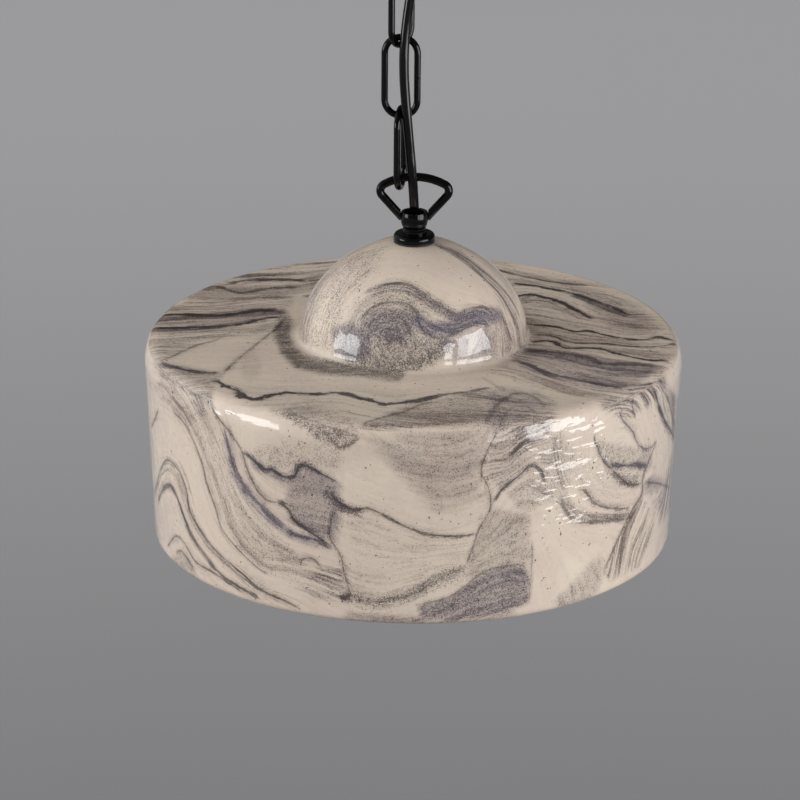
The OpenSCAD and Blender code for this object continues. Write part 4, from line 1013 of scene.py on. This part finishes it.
def write_clouds(mesh, clay, clouds):
    """Adds the clouds and the side's joint to the stain of the veins, and writes it."""
    for face, shape, soft, *amounts in CLOUDS:
        near = np.flatnonzero(clay.faces[face])
        cover = smooth_step(shape(clay.pixels[near]), -soft, soft)
        for k, amount in enumerate(amounts):
            clouds[near, k] = np.maximum(clouds[near, k], cover * amount)
    clouds[:, 0] = np.maximum(clouds[:, 0], JOINT_WASH * clay.joint)
    clouds[:, 1] = np.maximum(clouds[:, 1], JOINT_SPECK * clay.joint)
    write(mesh, "cloud", clouds[:, :3])
    write(mesh, "lined", clouds[:, 3])


def write_glaze(mesh, clay):
    """Writes where the glaze is thin or broken, and where it lies in ripples."""
    thin = smooth_step(clay.normals[:, 2], 0.93, 0.985) * smooth_step(clay.reach, DOME_R + 3, DOME_R + 12)
    thin = np.maximum(thin, spread_over(MATT, clay.pixels, clay.front))
    write(mesh, "thin", thin * ~clay.inside)
    write(mesh, "ripple", spread_over(RIPPLES, clay.pixels, clay.front))


def vein_home(vein):
    """The slab whose grain a vein guides."""
    if vein.face == "side":
        return slab_of(np.array([vein.pixels[len(vein.pixels) // 2]], float))[0]
    return vein.face if vein.face in ("dome", "stripes") else "top"


def write_grain(mesh, clay, lines):
    """Writes the level of the grain, whose lines of one level the streaks follow."""
    grain = clay.at @ np.array(PLAIN_GRAIN)
    slabs = slab_of(clay.pixels)
    guides = [(vein, line[::3]) for vein, line in zip(VEINS, lines) if vein.level is not None]
    for name in ["top", "dome", *SLABS, "right"]:
        fineness = TOP_GRAIN if name == "top" else 1.0
        own = [(vein, some) for vein, some in guides if vein_home(vein) == name]
        where = clay.faces[name] if name in ("top", "dome") else clay.faces["side"] & (slabs == name)
        if own and where.any():
            points = np.concatenate([some for vein, some in own])
            levels = np.concatenate([np.full(len(some), vein.level * fineness) for vein, some in own])
            grain[where] = grain_field(points, levels, clay.at[where])
    write(mesh, "grain", grain)


def write_marbling(mesh, tree):
    """Writes the clay's veins, clouds, glaze and grain as numbers at its vertices."""
    clay = Clay(mesh)
    lines = [onto_clay(tree, vein.face, vein.pixels) for vein in VEINS]
    clouds = np.zeros((clay.count, 4))
    channels = write_veins(mesh, clay, lines, clouds)
    write_clouds(mesh, clay, clouds)
    write_glaze(mesh, clay)
    write_grain(mesh, clay, lines)
    return channels


# Colours of the clay, its stains and its darkest lines
CREAM, PINK_CREAM = (0.60, 0.515, 0.42, 1), (0.57, 0.48, 0.405, 1)
CREAM_STREAK, CREAM_BAND = (0.44, 0.36, 0.305, 1), (0.46, 0.37, 0.31, 1)
GREY_BROWN, WARM_BROWN = (0.175, 0.142, 0.125, 1), (0.215, 0.155, 0.122, 1)
VIOLET_CLAY = (0.138, 0.124, 0.172, 1)
BLACK_CLAY, VIOLET_BLACK = (0.032, 0.025, 0.022, 1), (0.040, 0.034, 0.052, 1)


def largest(s, values):
    """The largest of several values."""
    out = values[0]
    for value in values[1:]:
        out = s.math("MAXIMUM", out, value)
    return out


def vein_marks(s, channels, wobble, middle):
    """The darkest line of the veins, the fringe that frays from them and how violet that is."""
    lines = []
    fringes = []
    tints = []
    for c in range(channels):
        distance, strength, width = s.three("vein_%d" % c)
        off = s.math("ABSOLUTE", s.math("MULTIPLY_ADD", wobble, 0.6, distance))
        half = s.math("MULTIPLY", width, s.step(middle, 0.36, 0.64, 0.16, 0.66))
        beyond = s.math("SUBTRACT", off, half)
        lines.append(s.math("MULTIPLY", strength, s.step(beyond, -0.2, 0.35, 1.0, 0.0)))
        fringes.append(s.math("MULTIPLY", strength, s.step(beyond, -0.2, 2.6, 1.0, 0.0)))
        tints.append(s.math("MULTIPLY", s.attribute("tint_%d" % c), fringes[-1]))
    return largest(s, lines), largest(s, fringes), largest(s, tints)


def glaze(s, patchy):
    """The clay's roughness, the weight of the glaze over it, and the glaze's uneven and rippled face."""
    thin = s.attribute("thin")
    rough = s.math("MULTIPLY_ADD", thin, 0.14, s.step(patchy, 0.3, 0.7, 0.42, 0.55))
    weight = s.math("MULTIPLY_ADD", thin, -0.8, 1.0)
    uneven = s.math("MULTIPLY_ADD", s.noise(150, 2, 0.5), 0.12, s.noise(34, 2, 0.5))
    ripples = s.math("MULTIPLY", s.noise(1.0, 2, 0.55, s.stretched((42, 42, 125))), s.attribute("ripple"))
    return rough, weight, s.bump(s.math("MULTIPLY_ADD", ripples, 3.3, uneven), 0.6, 0.0016)


def marbled_clay(channels):
    """Cream clay with strands, clouds and veins of darker clay, under a clear glaze."""
    s = Shader("marbled_clay")
    coarse = s.noise(26, 3, 0.55)
    middle = s.noise(110, 3, 0.55)
    patchy = s.noise(260, 4, 0.6)
    fine = s.noise(620, 5, 0.68)
    sharp = s.noise(2300, 3, 0.7)
    wobble = s.math("ADD", s.math("MULTIPLY", s.math("SUBTRACT", fine, 0.5), 1.6),
                    s.math("MULTIPLY", s.math("SUBTRACT", middle, 0.5), 2.0))
    wash, speck, violet = s.three("cloud")
    lined = s.attribute("lined")
    core, fringe, tinted = vein_marks(s, channels, wobble, middle)

    # Streaks that follow the grain, broad ones, narrow ones and hairlines
    level = s.math("ADD", s.attribute("grain"), s.math("MULTIPLY", wobble, 0.9))
    broad = s.strands(level, 0.13, 10, 3, 0.6)
    narrow = s.strands(level, 0.55, 22, 4, 0.65)
    dashes = s.strands(level, 1.1, 150, 3, 0.7)
    hair = s.math("MULTIPLY", s.ridge(s.strands(level, 0.30, 9, 4, 0.65, 2.0), 0.045),
                  s.step(patchy, 0.36, 0.58, 0.3, 1.0))
    hair = s.math("MULTIPLY", hair, s.math("MULTIPLY_ADD", lined, 1.0, 0.04), clamp=True)
    bands = s.step(s.math("MULTIPLY_ADD", narrow, 0.35, broad), 0.55, 0.95)
    thinner = s.math("MULTIPLY", s.step(narrow, 0.45, 0.85), 0.4)
    streak = s.math("ADD", s.math("MULTIPLY", bands, 0.65), thinner)
    streak = s.math("MULTIPLY", streak, lined, clamp=True)

    # Cream clay with faint pinker and greyer parts
    cream = s.blend(s.step(coarse, 0.35, 0.65), CREAM, PINK_CREAM)
    cream = s.blend(s.math("MULTIPLY", narrow, s.step(patchy, 0.3, 0.7, 0.05, 0.45)), cream, CREAM_STREAK)
    cream = s.blend(s.math("MULTIPLY", broad, 0.22), cream, CREAM_BAND)

    # Soft stain of the darker clay
    grit = s.math("ADD", s.math("MULTIPLY", sharp, 0.45), s.math("MULTIPLY", s.noise(1100, 3, 0.65), 0.35))
    grit = s.math("ADD", grit, s.math("MULTIPLY", s.spread(dashes, 0.34), 0.20))
    mottle = s.math("MULTIPLY", s.spread(grit, 3.0), 0.45)
    mottle = s.math("ADD", s.math("MULTIPLY_ADD", narrow, 0.40, 0.30), mottle)
    stain = s.math("MULTIPLY", s.math("MAXIMUM", wash, s.math("MULTIPLY", coarse, 0.18)), mottle)
    stain = s.math("ADD", stain, s.math("MULTIPLY", streak, 0.75))
    stain = s.math("ADD", stain, s.math("MULTIPLY", fringe, 0.22), clamp=True)
    violet = s.math("MAXIMUM", violet, tinted)
    brown = s.blend(s.step(coarse, 0.4, 0.62), GREY_BROWN, WARM_BROWN)
    colour = s.blend(stain, cream, s.blend(violet, brown, VIOLET_CLAY))

    # Grains of the darkest clay
    dark = s.math("MULTIPLY_ADD", s.math("POWER", wash, 2.6), 0.28, 0.05)
    dark = s.math("ADD", dark, s.math("MULTIPLY", streak, 0.42))
    dark = s.math("ADD", dark, s.math("MULTIPLY", speck, 0.52))
    dark = s.math("ADD", dark, s.math("MULTIPLY", fringe, 0.22), clamp=True)
    floor = s.math("SUBTRACT", 0.78, dark)
    grains = s.step(s.spread(grit, 4.2), floor, s.math("ADD", floor, 0.36))
    grains = s.math("MULTIPLY", grains, s.step(dark, 0.0, 0.16))
    black = s.blend(violet, BLACK_CLAY, VIOLET_BLACK)
    colour = s.blend(s.math("MULTIPLY", grains, 0.86), colour, black)

    # Dark lines of the veins, hairlines and a few pits
    lines = s.math("MAXIMUM", s.math("MULTIPLY", core, s.step(fine, 0.34, 0.6, 1.1, 0.75)),
                   s.math("MULTIPLY", hair, 0.85), clamp=True)
    lines = s.math("MAXIMUM", lines, s.step(s.noise(430, 1, 0.5), 0.735, 0.765, 0.0, 0.9))
    colour = s.blend(lines, colour, black)

    rough, weight, face = glaze(s, patchy)
    return s.finish(colour, rough, s.bump(fine, 0.1, 0.0002), Specular_IOR_Level=0.3,
                    Coat_Weight=weight, Coat_Roughness=0.035, Coat_IOR=1.5, Coat_Normal=face)


def make_shade():
    bm, mark = turned_clay()
    hand_worked(bm, mark)
    bm.normal_update()
    mesh = bpy.data.meshes.new("marbled_shade")
    bm.to_mesh(mesh)
    tree = BVHTree.FromBMesh(bm)
    bm.free()
    channels = write_marbling(mesh, tree)
    mesh.transform(Matrix.Translation((0, 0, DRUM_TOP)) @ Matrix.Scale(MM, 4))
    mesh.polygons.foreach_set("use_smooth", [True] * len(mesh.polygons))
    mesh.materials.append(marbled_clay(channels))
    piece = bpy.data.objects.new("marbled_shade", mesh)
    bpy.context.scene.collection.objects.link(piece)
    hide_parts("ceramic_shade")
    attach(piece, "lamp")


make_shade()


# Floor: its depth below the ceiling and half width in metres, and its greys near the lamp and far from it, a
# painted fall of light
FLOOR_DEPTH, FLOOR_HALF = 2.4, 20
NEAR_SHADED_GREY, FAR_LIT_GREY = (0.190, 0.190, 0.199, 1), (0.430, 0.430, 0.447, 1)
CLOUD_GREY = (0.6, 0.6, 0.6, 1)


def make_floor():
    """A plain floor with painted light: its grey is darker near the lamp and paler far from it."""
    bm = bmesh.new()
    bmesh.ops.create_grid(bm, x_segments=1, y_segments=1, size=FLOOR_HALF)
    bmesh.ops.translate(bm, vec=(0, 0, -FLOOR_DEPTH), verts=bm.verts)
    mesh = bpy.data.meshes.new("floor")
    bm.to_mesh(mesh)
    bm.free()
    s = Shader("pale_floor")
    apart = s.node("ShaderNodeVectorMath", operation="LENGTH")
    s.put(apart.inputs[0], s.stretched((1, 1, 0)))
    # Painted light and shade: the floor's grey darkens towards the lamp and pales far from it
    colour = s.blend(s.step(apart.outputs["Value"], 2.0, 8.0), NEAR_SHADED_GREY, FAR_LIT_GREY)
    cloud = s.math("MULTIPLY", s.noise(1.5, 2, 0.4), 0.04)
    mesh.materials.append(s.finish(s.blend(cloud, colour, CLOUD_GREY), 0.9))
    floor = bpy.data.objects.new("floor", mesh)
    bpy.context.scene.collection.objects.link(floor)


# Sky: brighter in front and much brighter on the left, dimmer in gloss and a plain grey where it is seen
SKY_AIM, SKY_LOW, SKY_HIGH = (0, -0.95, 0.31), 0.26, 0.56
LEFT_AIM, LEFT_FROM, LEFT_GLOW = (-0.98, 0.1, 0.17), 0.45, 2.5
GLOSS_SHARE = 0.22
SEEN_GREY = 0.335
SKY_COLOUR = (1.0, 0.99, 0.98, 1)


def along(sky, aim):
    """How nearly a place in the sky lies in the direction of an aim, from -1 to 1."""
    made = sky.node("ShaderNodeVectorMath", operation="DOT_PRODUCT")
    sky.put(made.inputs[0], sky.node("ShaderNodeTexCoord").outputs["Generated"])
    sky.put(made.inputs[1], aim)
    return made.outputs["Value"]


def make_sky():
    world = bpy.data.worlds.new("studio")
    world.use_nodes = True
    sky = Nodes(world.node_tree)
    path = sky.node("ShaderNodeLightPath").outputs
    front = sky.change(along(sky, SKY_AIM), -0.6, 1.0, SKY_LOW, SKY_HIGH)
    left = sky.step(along(sky, LEFT_AIM), LEFT_FROM, 1.0, 0.0, LEFT_GLOW)
    share = sky.change(path["Is Glossy Ray"], 0.0, 1.0, 1.0, GLOSS_SHARE)
    lit = sky.math("MULTIPLY", sky.math("ADD", front, left), share)
    strength = sky.node("ShaderNodeMix")
    seen = sky.math("MAXIMUM", path["Is Camera Ray"], path["Is Transmission Ray"])
    sky.put(strength.inputs["Factor"], seen)
    sky.put(strength.inputs["A"], lit)
    sky.put(strength.inputs["B"], SEEN_GREY)
    ground = sky.node("ShaderNodeBackground")
    sky.put(ground.inputs["Color"], SKY_COLOUR)
    sky.put(ground.inputs["Strength"], strength.outputs["Result"])
    sky.put(sky.node("ShaderNodeOutputWorld").inputs["Surface"], ground.outputs["Background"])
    bpy.context.scene.world = world


# Windows: the middle that they face and how far off they stand, in metres
LAMP_MIDDLE = Vector((0, 0, -0.30))
WINDOW_FAR = 2.2


def window(name, left, right, low, high, radiance):
    """A soft window, given by the angles at which the lamp sees it: round from the camera, and up."""
    turn = math.radians((left + right) / 2)
    rise = math.radians((low + high) / 2)
    aim = Vector((math.sin(turn) * math.cos(rise), -math.cos(turn) * math.cos(rise), math.sin(rise)))
    data = bpy.data.lights.new(name, "AREA")
    data.shape = "RECTANGLE"
    data.size = 2 * WINDOW_FAR * math.tan(math.radians(right - left) / 2)
    data.size_y = 2 * WINDOW_FAR * math.tan(math.radians(high - low) / 2)
    data.energy = radiance * math.pi * data.size * data.size_y
    light = bpy.data.objects.new(name, data)
    light.location = LAMP_MIDDLE + aim * WINDOW_FAR
    light.rotation_mode = "QUATERNION"
    light.rotation_quaternion = (-aim).to_track_quat("-Z", "Y")
    bpy.context.scene.collection.objects.link(light)


make_floor()
make_sky()
window("window_left", -84, -57, -4, 16, 7.1)
window("window_right", 44, 80, -12, 21, 7.1)
window("window_narrow", 30, 41, -9, 13, 7.1)

bpy.context.scene.view_settings.view_transform = "Standard"
